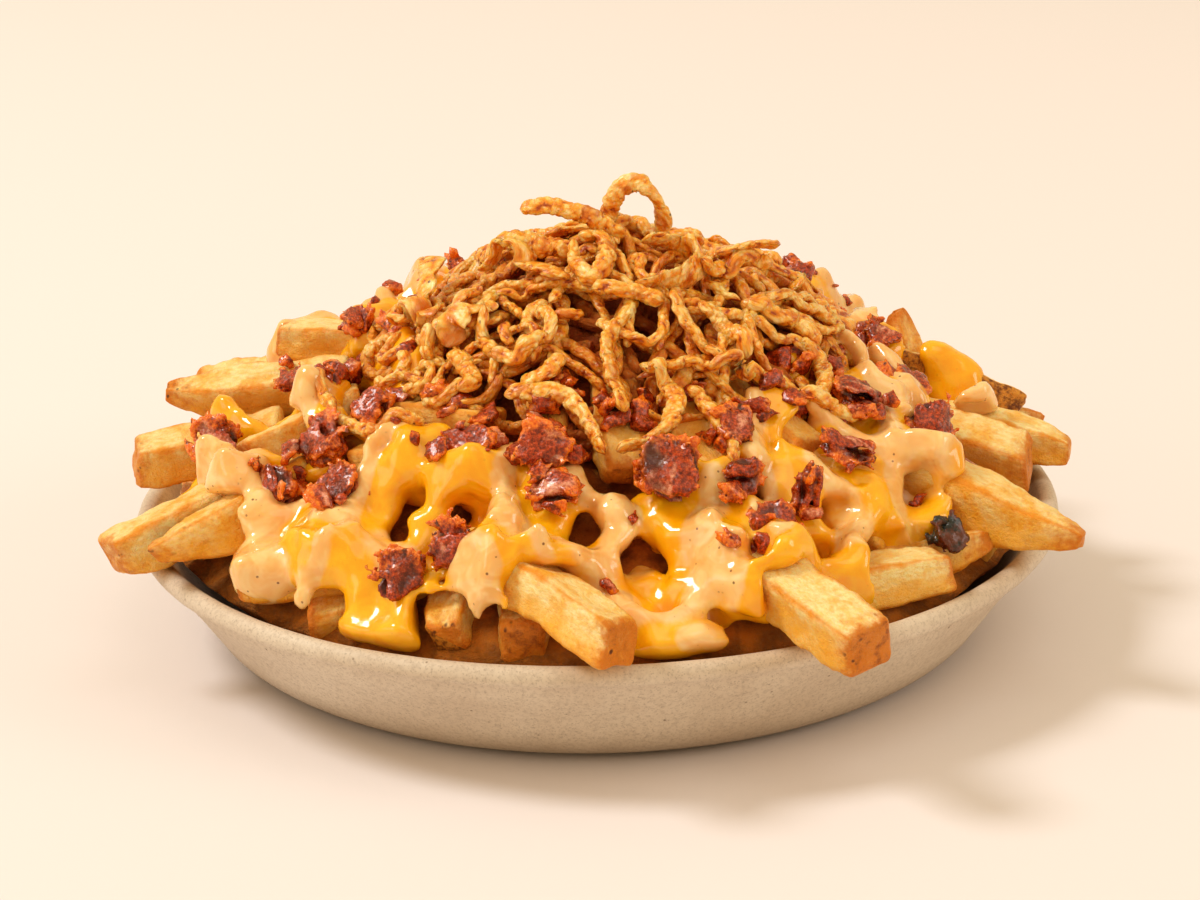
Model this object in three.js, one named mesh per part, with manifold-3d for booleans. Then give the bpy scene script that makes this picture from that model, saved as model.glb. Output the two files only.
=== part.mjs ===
// Bacon loaded fries: a shallow stoneware bowl heaped with thick-cut fries, which lie under a cheese
// sauce and a paler spiced sauce, with crisp bacon pieces and a pile of fried onion strings on top.
// Millimetres, +Z up. The origin is the centre of the bowl's flat base, and -Y is the front.
import * as THREE from "three";
import { ConvexGeometry } from "three/addons/geometries/ConvexGeometry.js";
import { mergeVertices } from "three/addons/utils/BufferGeometryUtils.js";
import Module from "manifold-3d";

const wasm = await Module();
wasm.setup();

// The bowl
const RIM_RADIUS = 110;
const BOWL_HEIGHT = 30;
const FOOT_RADIUS = 87;
const LIP_RADIUS = 2.4;
const FLOOR_THICKNESS = 5;
const WELL_RADIUS = 80;
const BOWL_SEGMENTS = 46;

// The heap of fries: a low dome that starts at the rim
const HEAP_RADIUS = 102;
const HEAP_EDGE_HEIGHT = 32;
const HEAP_RISE = 48;
const CORE_RADIUS = 98;
const CORE_SINK = 1.5;
const CORE_RELIEF = 1.0;
const CORE_SEGMENTS = 30;

// The pile of onion strings: a flatter dome on top, a little longer than it is wide
const PILE_CENTRE_X = 5;
const PILE_HALF_LENGTH = 56;
const PILE_HALF_WIDTH = 52;
const PILE_BASE_HEIGHT = 60;
const PILE_RISE = 36;
const PILE_CORE_SINK = 0.5;
const PILE_SEGMENTS = 20;

// One onion string
const STRING_WIDTH = 4.8;
const STRING_THICKNESS = 3.8;
const STRING_LIFT = 1.0;
const STRING_SIDES = 3;
const STRING_STEP = 6;
const RULE_STRINGS = 20;

// Bacon lies this far above the heap's core, on the sauce
const CHIP_LIFT = 1.5;

// Gap between pieces that touch
const GAP = 0.35;

// Detail below this size is dropped from a finished piece
const SLIVER = 0.12;

// Repeatable random numbers from 0 to 1
function randomSource(seed) {
  let state = seed;
  return () => {
    state = (Math.imul(state, 1664525) + 1013904223) >>> 0;
    return state / 4294967296;
  };
}

const radians = (degrees) => (degrees * Math.PI) / 180;

// A point given by its azimuth in degrees (0 is +X, -90 the front), its distance from the axis and its height
function polar(azimuth, radius, height) {
  const angle = radians(azimuth);
  return new THREE.Vector3(radius * Math.cos(angle), radius * Math.sin(angle), height);
}

const heapHeight = (radius) => HEAP_EDGE_HEIGHT + HEAP_RISE * (1 - (radius / HEAP_RADIUS) ** 2);

// Height of the onion pile, where share runs from 0 at its middle to 1 at its edge
const pileHeight = (share) => PILE_BASE_HEIGHT + PILE_RISE * (1 - 0.72 * share ** 2 - 0.1 * share ** 10);

// Height of whichever is on top, the heap or the pile, at a place in plan
function topHeight(x, y) {
  const share = Math.hypot((x - PILE_CENTRE_X) / PILE_HALF_LENGTH, y / PILE_HALF_WIDTH);
  return Math.max(heapHeight(Math.hypot(x, y)), pileHeight(share));
}

// Smooth unevenness between about -1 and 1
function lumps(x, y, z, seed) {
  return (
    0.5 * Math.sin(1.9 * x + 1.1 * y + seed) * Math.cos(1.6 * z - 0.7 * x + 2 * seed) +
    0.5 * Math.sin(2.7 * y - 1.3 * z + 3 * seed) * Math.cos(2.2 * x + 0.6 * y + seed)
  );
}

function solidOf(geometry) {
  const bare = geometry.clone();
  bare.deleteAttribute("normal");
  bare.deleteAttribute("uv");
  const merged = mergeVertices(bare, 1e-3);
  return new wasm.Manifold(
    new wasm.Mesh({
      numProp: 3,
      vertProperties: new Float32Array(merged.attributes.position.array),
      triVerts: new Uint32Array(merged.index.array),
    }),
  );
}

function geometryOf(solid) {
  const mesh = solid.getMesh();
  const geometry = new THREE.BufferGeometry();
  geometry.setAttribute("position", new THREE.BufferAttribute(new Float32Array(mesh.vertProperties), 3));
  geometry.setIndex(new THREE.BufferAttribute(new Uint32Array(mesh.triVerts), 1));
  geometry.computeVertexNormals();
  return geometry;
}

const unionOf = (solids) => wasm.Manifold.union(solids);

// The largest body of a solid, without slivers, loose scraps and the small hollows that crossing pieces leave
function largestBody(solid) {
  let best = solid.simplify(SLIVER);
  let bodies = [];
  while (bodies.length !== 1) {
    bodies = solidOf(geometryOf(best)).decompose();
    best = bodies.reduce((most, body) => (body.volume() > most.volume() ? body : most));
  }
  return best;
}

// A solid of revolution about Z, from an outline of (radius, height) points that starts and ends on the axis
function turned(outline, segments) {
  const geometry = new THREE.LatheGeometry(outline, segments);
  geometry.rotateX(Math.PI / 2);
  return geometry;
}

// A closed body from rings with the same number of points, clockwise seen from the last ring's end
function loft(rings) {
  const sides = rings[0].length;
  const positions = rings.flat().flatMap((point) => [point.x, point.y, point.z]);
  const faces = [];
  for (let ring = 0; ring + 1 < rings.length; ring++) {
    for (let side = 0; side < sides; side++) {
      const a = ring * sides + side;
      const b = ring * sides + ((side + 1) % sides);
      faces.push(a, b + sides, b, a, a + sides, b + sides);
    }
  }
  const last = (rings.length - 1) * sides;
  for (let side = 1; side + 1 < sides; side++) {
    faces.push(0, side, side + 1);
    faces.push(last, last + side + 1, last + side);
  }
  const geometry = new THREE.BufferGeometry();
  geometry.setAttribute("position", new THREE.Float32BufferAttribute(positions, 3));
  geometry.setIndex(faces);
  return geometry;
}

// Rings of an oval or chamfered section carried along a path, with a size factor at each point
function sweptRings(path, section, upward, sizeAt) {
  return path.map((point, index) => {
    const before = path[Math.max(index - 1, 0)];
    const after = path[Math.min(index + 1, path.length - 1)];
    const along = after.clone().sub(before).normalize();
    const sideways = new THREE.Vector3().crossVectors(along, upward(point)).normalize();
    const outward = new THREE.Vector3().crossVectors(sideways, along);
    const size = sizeAt(index / (path.length - 1));
    return section.map(([across, up]) =>
      point.clone().addScaledVector(sideways, across * size).addScaledVector(outward, up * size),
    );
  });
}

// Bowl outline: flat foot, slanting side, rounded lip and slanting inside. grow makes the wall thicker all over.
function bowlOutline(grow = 0) {
  const lipCentre = new THREE.Vector2(RIM_RADIUS - LIP_RADIUS, BOWL_HEIGHT - LIP_RADIUS);
  const foot = new THREE.QuadraticBezierCurve(
    new THREE.Vector2(FOOT_RADIUS + grow, -grow),
    new THREE.Vector2(FOOT_RADIUS + 3 + grow, -grow),
    new THREE.Vector2(FOOT_RADIUS + 6.5 + grow, 5 - grow),
  ).getPoints(3);
  const underLip = new THREE.Vector2(lipCentre.x - 0.8 + grow, lipCentre.y - LIP_RADIUS);
  const lip = [-40, 5, 50, 95, 140].map((degrees) =>
    new THREE.Vector2(LIP_RADIUS + grow, 0).rotateAround(new THREE.Vector2(), radians(degrees)).add(lipCentre),
  );
  const well = new THREE.QuadraticBezierCurve(
    new THREE.Vector2(lipCentre.x - 3.4 - grow, lipCentre.y - 1 + grow),
    new THREE.Vector2(WELL_RADIUS + 8 - grow, FLOOR_THICKNESS + 1 + grow),
    new THREE.Vector2(WELL_RADIUS - grow, FLOOR_THICKNESS + grow),
  ).getPoints(4);
  return {
    outside: [new THREE.Vector2(0, -grow), ...foot, underLip, ...lip],
    inside: [...well, new THREE.Vector2(0, FLOOR_THICKNESS + grow)],
  };
}

function bowlSolid(grow = 0) {
  const { outside, inside } = bowlOutline(grow);
  return solidOf(turned([...outside, ...inside], BOWL_SEGMENTS));
}

// Core of the fries heap. It fills the bowl, and its top is a dome with slight relief out from the pile's edge.
function heapCore(grow = 0) {
  const shares = [1, 0.86, 0.72, 0.58];
  const dome = shares.map((share) => {
    const radius = CORE_RADIUS * share;
    return new THREE.Vector2(radius + (share === 1 ? grow : 0), heapHeight(radius) - CORE_SINK + grow);
  });
  const outline = [
    ...bowlOutline(GAP - grow).inside.reverse(),
    new THREE.Vector2(CORE_RADIUS + grow, BOWL_HEIGHT - 1),
    ...dome,
    new THREE.Vector2(0, heapHeight(0) - CORE_SINK + grow),
  ];
  const geometry = turned(outline, CORE_SEGMENTS);
  const position = geometry.attributes.position;
  for (let i = 0; i < position.count; i++) {
    const [x, y, z] = [position.getX(i), position.getY(i), position.getZ(i)];
    const radius = Math.hypot(x, y);
    const onTop = z > BOWL_HEIGHT + 3 && radius > 1 && radius < CORE_RADIUS - 1;
    if (onTop) position.setZ(i, z + CORE_RELIEF * lumps(x / 14, y / 14, 0, 1));
  }
  return solidOf(geometry);
}

// Fries that the front and sides show: the visible tip, the hidden inner end, the width across, and how
// much the tip narrows (1 is a blunt cut end)
const PLACED_FRIES = [
  { tip: [-78, 28, 61], inner: [-44, 20, 61], width: 10.5, taper: 0.8 },
  { tip: [-103, 10, 51], inner: [-60, 5, 57], width: 11.5, taper: 0.35 },
  { tip: [-109, -8, 42], inner: [-74, -6, 48], width: 11, taper: 0.95 },
  { tip: [-109, -48, 33], inner: [-72, -30, 46], width: 12.5, taper: 0.8 },
  { tip: [-97, -59, 35], inner: [-66, -40, 48], width: 12.5, taper: 0.35 },
  { tip: [-80, -68, 36.5], inner: [-46, -72, 40], width: 13, taper: 1 },
  { tip: [-62, -77, 28], inner: [-30, -70, 33], width: 11, taper: 0.9 },
  { tip: [4.5, -114, 37.5], inner: [-28, -76, 44], width: 12, taper: 0.95 },
  { tip: [-15, -94, 29], inner: [-12, -60, 38], width: 12.5, taper: 0.8 },
  { tip: [-31, -91, 30], inner: [-24, -58, 40], width: 10.5, taper: 0.8 },
  { tip: [55, -116, 36.5], inner: [28, -76, 43], width: 12.5, taper: 0.95 },
  { tip: [76, -67, 34], inner: [40, -80, 33], width: 12, taper: 0.9 },
  { tip: [88, -54, 34], inner: [62, -60, 33], width: 9, taper: 0.4 },
  { tip: [106, -60, 34], inner: [60, -29, 49], width: 13.5, taper: 0.3 },
  { tip: [96, -9, 28], inner: [66, -4, 33], width: 11.5, taper: 0.8 },
  { tip: [103, -8, 37], inner: [66, 6, 47], width: 12.5, taper: 0.9 },
  { tip: [114, 3, 36], inner: [78, 12, 42], width: 11, taper: 0.6 },
  { tip: [104, 22, 40], inner: [62, 26, 54], width: 12.5, taper: 0.9 },
  { tip: [111, 26, 36], inner: [84, 22, 39], width: 8, taper: 0.5 },
  { tip: [74, 31, 64], inner: [78, 27, 44], width: 10.5, taper: 0.45 },
  { tip: [-79, -30, 50], inner: [-54, -18, 58], width: 11, taper: 0.85 },
];

// The rule that carries the same look round the back
const BACK_FRIES = 13;
const BACK_START = 32;
const BACK_END = 158;

function backFries() {
  const random = randomSource(11);
  const fries = [];
  for (let i = 0; i < BACK_FRIES; i++) {
    const azimuth = BACK_START + ((BACK_END - BACK_START) * (i + 0.7 * random())) / BACK_FRIES;
    const onRim = i % 2 === 0;
    const reach = onRim ? 106 + 13 * random() : 82 + 12 * random();
    const height = onRim ? 37 + 3 * random() : heapHeight(reach) + 3 + 4 * random();
    const heading = azimuth + (random() - 0.5) * 70;
    const length = 36 + 12 * random();
    const tip = polar(azimuth, reach, height);
    const back = polar(heading, length, 0);
    const inner = tip.clone().sub(back);
    inner.z = heapHeight(Math.hypot(inner.x, inner.y)) - 6;
    fries.push({
      tip: tip.toArray(),
      inner: inner.toArray(),
      width: 10 + 3 * random(),
      taper: 0.4 + 0.6 * random(),
    });
  }
  return fries;
}

// One fry: a chamfered square section that narrows at its tip
function frySolid({ tip, inner, width, taper }, index) {
  const start = new THREE.Vector3(...inner);
  const end = new THREE.Vector3(...tip);
  const along = end.clone().sub(start).normalize();
  const shoulder = end.clone().addScaledVector(along, -0.7 * width);
  const roll = radians(18 * Math.sin(5.1 * index));
  const sideways = new THREE.Vector3(along.y, -along.x, 0).normalize().applyAxisAngle(along, roll);
  const outward = new THREE.Vector3().crossVectors(sideways, along);
  const half = width / 2;
  const chamfer = half * 0.7;
  const section = [
    [half, -chamfer], [half, chamfer], [chamfer, half], [-chamfer, half],
    [-half, chamfer], [-half, -chamfer], [-chamfer, -half], [chamfer, -half],
  ];
  const ring = (centre, size) =>
    section.map(([across, up]) =>
      centre.clone().addScaledVector(sideways, across * size).addScaledVector(outward, up * size),
    );
  const points = [...ring(start, 1), ...ring(shoulder, 1), ...ring(end, taper)];
  return solidOf(new ConvexGeometry(points));
}

// Sauce strands, each a run of (azimuth, radius) places on the heap, with its width
const CHEESE_STRANDS = [
  { width: 13, run: [[-124, 70], [-125, 92], [-121, 101]] },
  { width: 10, run: [[-114, 68], [-115, 84], [-114, 101]] },
  { width: 10, run: [[-99, 66], [-99, 78], [-94, 88]] },
  { width: 11, run: [[-68, 68], [-70, 82], [-71, 101]] },
  { width: 13, run: [[-38, 68], [-43, 84], [-52, 95]] },
  { width: 12, run: [[-20, 64], [-22, 78], [-26, 92]] },
  { width: 9, run: [[-90, 100], [-80, 102], [-70, 101]] },
  { width: 12, run: [[-166, 64], [-160, 76], [-154, 88]] },
];
const SPICED_STRANDS = [
  { width: 9, run: [[-154, 76], [-148, 88], [-144, 99]] },
  { width: 7, run: [[-131, 68], [-131, 77], [-133, 90]] },
  { width: 7, run: [[-104, 84], [-105, 94], [-103, 102]] },
  { width: 7, run: [[-107, 64], [-103, 80], [-92, 92]] },
  { width: 9, run: [[-88, 68], [-88, 84], [-84, 98]] },
  { width: 8, run: [[-74, 78], [-76, 90], [-82, 100]] },
  { width: 8, run: [[-49, 62], [-50, 80], [-55, 92]] },
  { width: 8, run: [[-38, 68], [-35, 80], [-31, 92]] },
  { width: 8, run: [[6, 62], [-1, 77], [-5, 92]] },
];
const BACK_STRANDS = 6;
const STRAND_STEPS = 3;

function backStrands(width, seed) {
  const random = randomSource(seed);
  const strands = [];
  for (let i = 0; i < BACK_STRANDS; i++) {
    const azimuth = 12 + (165 - 12) * ((i + 0.6 * random()) / BACK_STRANDS);
    const sway = () => azimuth + 14 * (random() - 0.5);
    const outer = 88 + 13 * random();
    const run = [[sway(), 62], [sway(), 76], [sway(), outer]];
    strands.push({ width: width * (0.8 + 0.4 * random()), run });
  }
  return strands;
}

// One sauce strand, draped over the heap, thicker at its lower end
function strandSolid({ width, run }, lift) {
  const points = run.map(([azimuth, radius]) => polar(azimuth, radius, heapHeight(radius) + lift));
  const path = new THREE.CatmullRomCurve3(points).getPoints(STRAND_STEPS);
  const section = [[0.5, -0.2], [0.28, 0.28], [-0.28, 0.28], [-0.5, -0.2]];
  const sized = section.map(([across, up]) => [across * width, up * width]);
  const outward = (point) => new THREE.Vector3(point.x * 0.008, point.y * 0.008, 1).normalize();
  const sizeAt = (share) => 0.8 + 0.3 * share - (share > 0.95 ? 0.4 : 0);
  return solidOf(loft(sweptRings(path, sized, outward, sizeAt)));
}

// Bacon pieces: azimuth and radius on the heap, size along, across and through, heading in plan, and how
// steeply one stands
const BACON = [
  { at: [-167, 90], size: [16, 12, 6], heading: 90, stand: 45 },
  { at: [-145, 87], size: [12, 11, 6], heading: 80, stand: 20 },
  { at: [-145, 75], size: [13, 13, 5], heading: 90, stand: 15 },
  { at: [-134, 82], size: [12, 10, 5], heading: 60, stand: 10 },
  { at: [-162, 65], size: [9, 7, 5], heading: 90, stand: 30 },
  { at: [-142, 64], size: [10, 9, 5], heading: 60, stand: 10 },
  { at: [-178, 72], size: [8, 7, 4], heading: 90, stand: 15 },
  { at: [165, 58], size: [8, 7, 5], heading: 90, stand: 30 },
  { at: [-116, 96], size: [12, 11, 7], heading: 70, stand: 10 },
  { at: [-110, 89], size: [12, 12, 7], heading: 100, stand: 15 },
  { at: [-115, 67], size: [9, 15, 5], heading: 90, stand: 10 },
  { at: [-100, 68], size: [11, 13, 6], heading: 90, stand: 25 },
  { at: [-97, 76], size: [8, 12, 5], heading: 90, stand: 15 },
  { at: [-78, 74], size: [15, 14, 8], heading: 90, stand: 15 },
  { at: [-66, 77], size: [10, 9, 6], heading: 90, stand: 25 },
  { at: [-62, 65], size: [11, 10, 5], heading: 90, stand: 5 },
  { at: [-71, 91], size: [9, 11, 5], heading: 90, stand: 15 },
  { at: [-64, 87], size: [10, 11, 6], heading: 60, stand: 20 },
  { at: [-57, 84], size: [14, 8, 5], heading: 100, stand: 55 },
  { at: [-43, 76], size: [8, 14, 5], heading: 90, stand: 5 },
  { at: [-29, 68], size: [11, 13, 6], heading: 90, stand: 10 },
  { at: [-22, 82], size: [14, 12, 7], heading: 70, stand: 35 },
  { at: [-24, 91], size: [9, 9, 5], heading: 60, stand: 10 },
  { at: [-9, 74], size: [11, 11, 6], heading: 90, stand: 10 },
  { at: [16, 72], size: [10, 9, 5], heading: 90, stand: 30 },
  { at: [-38, 98], size: [8, 8, 5], heading: 60, stand: 25 },
  { at: [36, 82], size: [14, 12, 6], heading: 10, stand: 25 },
  { at: [58, 70], size: [15, 11, 7], heading: 120, stand: 20 },
  { at: [76, 86], size: [14, 12, 6], heading: 70, stand: 15 },
  { at: [92, 70], size: [17, 12, 6], heading: 20, stand: 30 },
  { at: [110, 86], size: [15, 11, 7], heading: 140, stand: 20 },
  { at: [128, 72], size: [14, 12, 6], heading: 50, stand: 25 },
  { at: [146, 84], size: [15, 10, 6], heading: 100, stand: 20 },
];

// One bacon piece: an angular chip that lies on the heap
const CHIP_CORNERS = 16;

function baconSolid({ at, size, heading, stand }, index, grow = 0) {
  const random = randomSource(100 + index);
  const [azimuth, radius] = at;
  const slope = Math.atan((2 * HEAP_RISE * radius) / HEAP_RADIUS ** 2);
  const lift = CHIP_LIFT + 0.4 * size[2] + 0.3 * size[0] * Math.sin(radians(stand));
  const place = new THREE.Matrix4().makeTranslation(polar(azimuth, radius, heapHeight(radius) + lift));
  place.multiply(new THREE.Matrix4().makeRotationZ(radians(azimuth)));
  place.multiply(new THREE.Matrix4().makeRotationY(slope));
  place.multiply(new THREE.Matrix4().makeRotationZ(radians(heading - azimuth)));
  place.multiply(new THREE.Matrix4().makeRotationY(-radians(stand)));
  const corners = [];
  for (let i = 0; i < CHIP_CORNERS; i++) {
    const turn = (2 * Math.PI * (i + 0.5 * random())) / (CHIP_CORNERS / 2);
    const side = i < CHIP_CORNERS / 2 ? -1 : 1;
    const reach = 0.85 + 0.3 * random();
    const corner = new THREE.Vector3(
      (size[0] / 2) * reach * Math.cos(turn),
      (size[1] / 2) * reach * Math.sin(turn),
      (size[2] / 2) * side * (0.7 + 0.5 * random()),
    );
    corner.addScaledVector(corner.clone().normalize(), grow);
    corner.z += grow * side;
    corners.push(corner.applyMatrix4(place));
  }
  return solidOf(new ConvexGeometry(corners));
}

// Onion strings that the front shows, as places in plan, each with a height above the pile where it stands off
const PLACED_STRINGS = [
  [[3, -3, -3], [4, -3, 3], [7, -3, 8], [11, -3, 9], [15, -3, 6], [17, -3, 2], [17, -3, -3]],
  [[-16, -8, 9], [-10, -8, 7], [-3, -8, 5], [3, -8, 1], [8, -8, -2]],
  [[-22, -14, 7], [-18, -14, 5], [-12, -14, 2], [-4, -14, -1]],
  [[43, -14, 10], [36, -14, 6], [31, -14, 3], [25, -14, -1]],
  [[18, -8], [22, -8], [26, -8]],
  [[-3, -13], [1, -11], [3, -16], [3, -22], [0, -26], [-4, -21], [-4, -16]],
  [[-26, -10], [-21, -12], [-15, -17], [-10, -22], [-5, -26]],
  [[-26, -18], [-29, -22], [-33, -25], [-36, -28]],
  [[-23, -25], [-28, -29], [-33, -32]],
  [[-25, -30], [-25, -34], [-22, -39], [-18, -42], [-14, -42], [-10, -39], [-10, -35], [-13, -32]],
  [[-20, -50], [-16, -50], [-11, -51], [-6, -53], [-3, -57], [0, -62], [2, -68]],
  [[-16, -47], [-11, -46], [-7, -44]],
  [[5, -38], [3, -43], [4, -48], [5, -52], [6, -57]],
  [[0, -30], [4, -30], [9, -31], [16, -33]],
  [[18, -30], [19, -34], [23, -39], [30, -43]],
  [[24, -31], [28, -33], [31, -37], [34, -40]],
  [[12, -14], [18, -12], [23, -14], [24, -19], [21, -24], [15, -27], [10, -29]],
  [[25, -21], [32, -17], [37, -15], [41, -16]],
  [[40, -20], [47, -16], [53, -13], [58, -11]],
  [[34, -26], [41, -25], [47, -24], [51, -25]],
  [[47, -28], [50, -28], [52, -30], [52, -33], [50, -38]],
  [[15, -46], [20, -45], [28, -45], [37, -42], [46, -42], [53, -41], [59, -41]],
  [[10, -47], [14, -48], [17, -50], [18, -54], [17, -58], [14, -62], [10, -65], [5, -68]],
  [[21, -49], [24, -52], [27, -57], [29, -61], [30, -66]],
  [[-37, 2, 6], [-38, -6, 5], [-39, -14]],
  [[-46, -10], [-41, -15], [-35, -22]],
  [[-64, -21], [-60, -33], [-55, -43], [-48, -49], [-42, -52], [-38, -51]],
  [[-40, -23], [-37, -30], [-38, -35]],
  [[-33, -35], [-29, -38], [-27, -43], [-30, -46]],
];

// The centre line of a string, evenly divided
function stringPath(places) {
  const points = places.map(
    ([x, y, lift = 0]) => new THREE.Vector3(x, y, topHeight(x, y) + STRING_LIFT + lift),
  );
  const curve = new THREE.CatmullRomCurve3(points, false, "centripetal");
  const steps = Math.min(Math.max(Math.round(curve.getLength() / STRING_STEP), 3), 8);
  return curve.getSpacedPoints(steps);
}

// The back and the far sides get strings by a rule: each wanders over the pile with its own bend
function rulePlaces(random) {
  const share = Math.sqrt(0.02 + 0.98 * random());
  const azimuth = radians(-20 + 220 * random());
  const length = 24 + 30 * random();
  const bend = random() < 0.35 ? (random() < 0.5 ? -1 : 1) * (3 + 1.6 * random()) : 2.4 * (random() - 0.5);
  let heading = 2 * Math.PI * random();
  let x = PILE_CENTRE_X + share * PILE_HALF_LENGTH * Math.cos(azimuth);
  let y = share * PILE_HALF_WIDTH * Math.sin(azimuth);
  const places = [[x, y]];
  const steps = 7;
  for (let i = 0; i < steps; i++) {
    x += (0.85 * length * Math.cos(heading)) / steps;
    y += (0.85 * length * Math.sin(heading)) / steps;
    heading += bend / steps;
    const past = Math.hypot((x - PILE_CENTRE_X) / PILE_HALF_LENGTH, y / PILE_HALF_WIDTH) / 1.05;
    if (past > 1) {
      x = PILE_CENTRE_X + (x - PILE_CENTRE_X) / past;
      y /= past;
    }
    places.push([x, y]);
  }
  return places;
}

// A path whose two ends are moved outwards
function lengthened(path, reach) {
  const [first, second] = path;
  const [inner, last] = path.slice(-2);
  const start = first.clone().add(first.clone().sub(second).setLength(reach));
  const end = last.clone().add(last.clone().sub(inner).setLength(reach));
  return [start, ...path.slice(1, -1), end];
}

function stringSolid(path, grow = 0) {
  const section = Array.from({ length: STRING_SIDES }, (_, side) => {
    const angle = Math.PI / 2 + (2 * Math.PI * side) / STRING_SIDES;
    return [(0.62 * STRING_WIDTH + grow) * Math.cos(angle), (0.62 * STRING_THICKNESS + grow) * Math.sin(angle)];
  });
  const outward = () => new THREE.Vector3(0, 0, 1);
  const sizeAt = (share) => 1 - 0.3 * Math.abs(2 * share - 1) ** 4;
  return solidOf(loft(sweptRings(lengthened(path, grow), section, outward, sizeAt)));
}

// Core of the onion pile
function pileCore(grow = 0) {
  const outline = [
    new THREE.Vector2(0, PILE_BASE_HEIGHT - 8),
    new THREE.Vector2(1.04, PILE_BASE_HEIGHT - 8),
  ];
  for (const share of [1.04, 0.94, 0.78, 0.56, 0.3]) {
    outline.push(new THREE.Vector2(share, pileHeight(share) - PILE_CORE_SINK + grow));
  }
  outline.push(new THREE.Vector2(0, pileHeight(0) - PILE_CORE_SINK + grow));
  const geometry = turned(outline, PILE_SEGMENTS);
  geometry.scale(PILE_HALF_LENGTH + grow, PILE_HALF_WIDTH + grow, 1);
  geometry.translate(PILE_CENTRE_X, 0, 0);
  return solidOf(geometry);
}

// The pieces
const bowl = bowlSolid();
const coreClearance = heapCore(GAP);

const bacon = BACON.map((piece, index) => {
  const earlier = BACON.slice(0, index).map((other, rank) => baconSolid(other, rank, GAP));
  return baconSolid(piece, index).subtract(unionOf([coreClearance, ...earlier]));
});
const baconClearance = unionOf(BACON.map((piece, index) => baconSolid(piece, index, GAP)));

const fries = [...PLACED_FRIES, ...backFries()].map(frySolid);
const strands = [
  ...CHEESE_STRANDS.map((strand) => strandSolid(strand, 0.6)),
  ...SPICED_STRANDS.map((strand) => strandSolid(strand, 1.4)),
  ...backStrands(10, 21).map((strand) => strandSolid(strand, 0.6)),
  ...backStrands(7, 22).map((strand) => strandSolid(strand, 1.4)),
];
const laid = unionOf([...fries, ...strands]).subtract(bowlSolid(GAP)).subtract(baconClearance);

const random = randomSource(5);
const rulePaths = Array.from({ length: RULE_STRINGS }, () => stringPath(rulePlaces(random)));
const paths = [...PLACED_STRINGS.map(stringPath), ...rulePaths];
const strings = paths.map((path) => stringSolid(path));
const onions = largestBody(
  unionOf([pileCore(), ...strings]).subtract(coreClearance).subtract(baconClearance),
);
const crossing = paths.filter((path, index) => strings[index].intersect(laid).volume() > 0);
const pileClearance = unionOf([pileCore(GAP), ...crossing.map((path) => stringSolid(path, 2 * GAP))]);
const heap = largestBody(unionOf([heapCore(), laid.subtract(pileClearance)]));

// Materials
const stoneware = new THREE.MeshStandardMaterial({ color: 0xc9b596, roughness: 0.7, metalness: 0 });
const fried = new THREE.MeshStandardMaterial({ color: 0xf0b440, roughness: 0.45, metalness: 0 });
const crisp = new THREE.MeshStandardMaterial({ color: 0xc98a3c, roughness: 0.6, metalness: 0 });
const cured = new THREE.MeshStandardMaterial({ color: 0x8f3a22, roughness: 0.4, metalness: 0 });

function namedMesh(name, solid, material) {
  const mesh = new THREE.Mesh(geometryOf(solid), material);
  mesh.name = name;
  return mesh;
}

const toppings = new THREE.Group();
toppings.add(namedMesh("onion_strings", onions, crisp));
bacon.forEach((piece, index) => {
  const name = `bacon_${String(index + 1).padStart(2, "0")}`;
  toppings.add(namedMesh(name, largestBody(piece), cured));
});

const loadedFries = new THREE.Group();
loadedFries.add(namedMesh("bowl", bowl, stoneware));
loadedFries.add(namedMesh("fries_heap", heap, fried));
loadedFries.add(toppings);

export default loadedFries;
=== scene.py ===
"""Looks of the bacon loaded fries: stoneware bowl, fries, two sauces, bacon and fried onion strings.

Shapes are worked out in millimetres in the part's frame, and become metres when a mesh is made.
"""

import math

import bmesh
import bpy
import numpy as np
import openvdb
from mathutils import Euler, Matrix, Vector


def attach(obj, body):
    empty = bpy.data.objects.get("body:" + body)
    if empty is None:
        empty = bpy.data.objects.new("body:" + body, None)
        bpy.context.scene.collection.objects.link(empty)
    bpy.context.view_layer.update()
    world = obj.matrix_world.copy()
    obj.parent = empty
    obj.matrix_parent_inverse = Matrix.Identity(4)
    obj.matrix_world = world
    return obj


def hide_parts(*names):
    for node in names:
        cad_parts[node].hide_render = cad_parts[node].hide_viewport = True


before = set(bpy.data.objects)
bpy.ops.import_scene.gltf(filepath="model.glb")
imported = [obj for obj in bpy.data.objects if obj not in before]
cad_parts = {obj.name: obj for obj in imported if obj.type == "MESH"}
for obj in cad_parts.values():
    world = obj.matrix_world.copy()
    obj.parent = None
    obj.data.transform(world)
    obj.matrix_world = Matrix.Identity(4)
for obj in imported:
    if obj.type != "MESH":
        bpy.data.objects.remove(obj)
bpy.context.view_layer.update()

MM = 0.001

# Bowl, as in the part's source
RIM_RADIUS = 110
BOWL_HEIGHT = 30
FOOT_RADIUS = 87
LIP_RADIUS = 2.4
FLOOR_THICKNESS = 5
WELL_RADIUS = 80

# Heap of fries, as in the part's source
HEAP_RADIUS = 102
HEAP_EDGE_HEIGHT = 32
HEAP_RISE = 48

# Pile of onion strings, as in the part's source
PILE_CENTRE_X = 5
PILE_HALF_LENGTH = 56
PILE_HALF_WIDTH = 52
PILE_BASE_HEIGHT = 60
PILE_RISE = 36

# Camera, fitted to the photograph: the lens sees the bowl from a little above its rim
CAMERA_TARGET = (0.95, 0, 40)
CAMERA_DISTANCE = 700
CAMERA_ELEVATION = 19.2
CAMERA_ROLL = -1.09
CAMERA_LENS = 87.5


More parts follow.
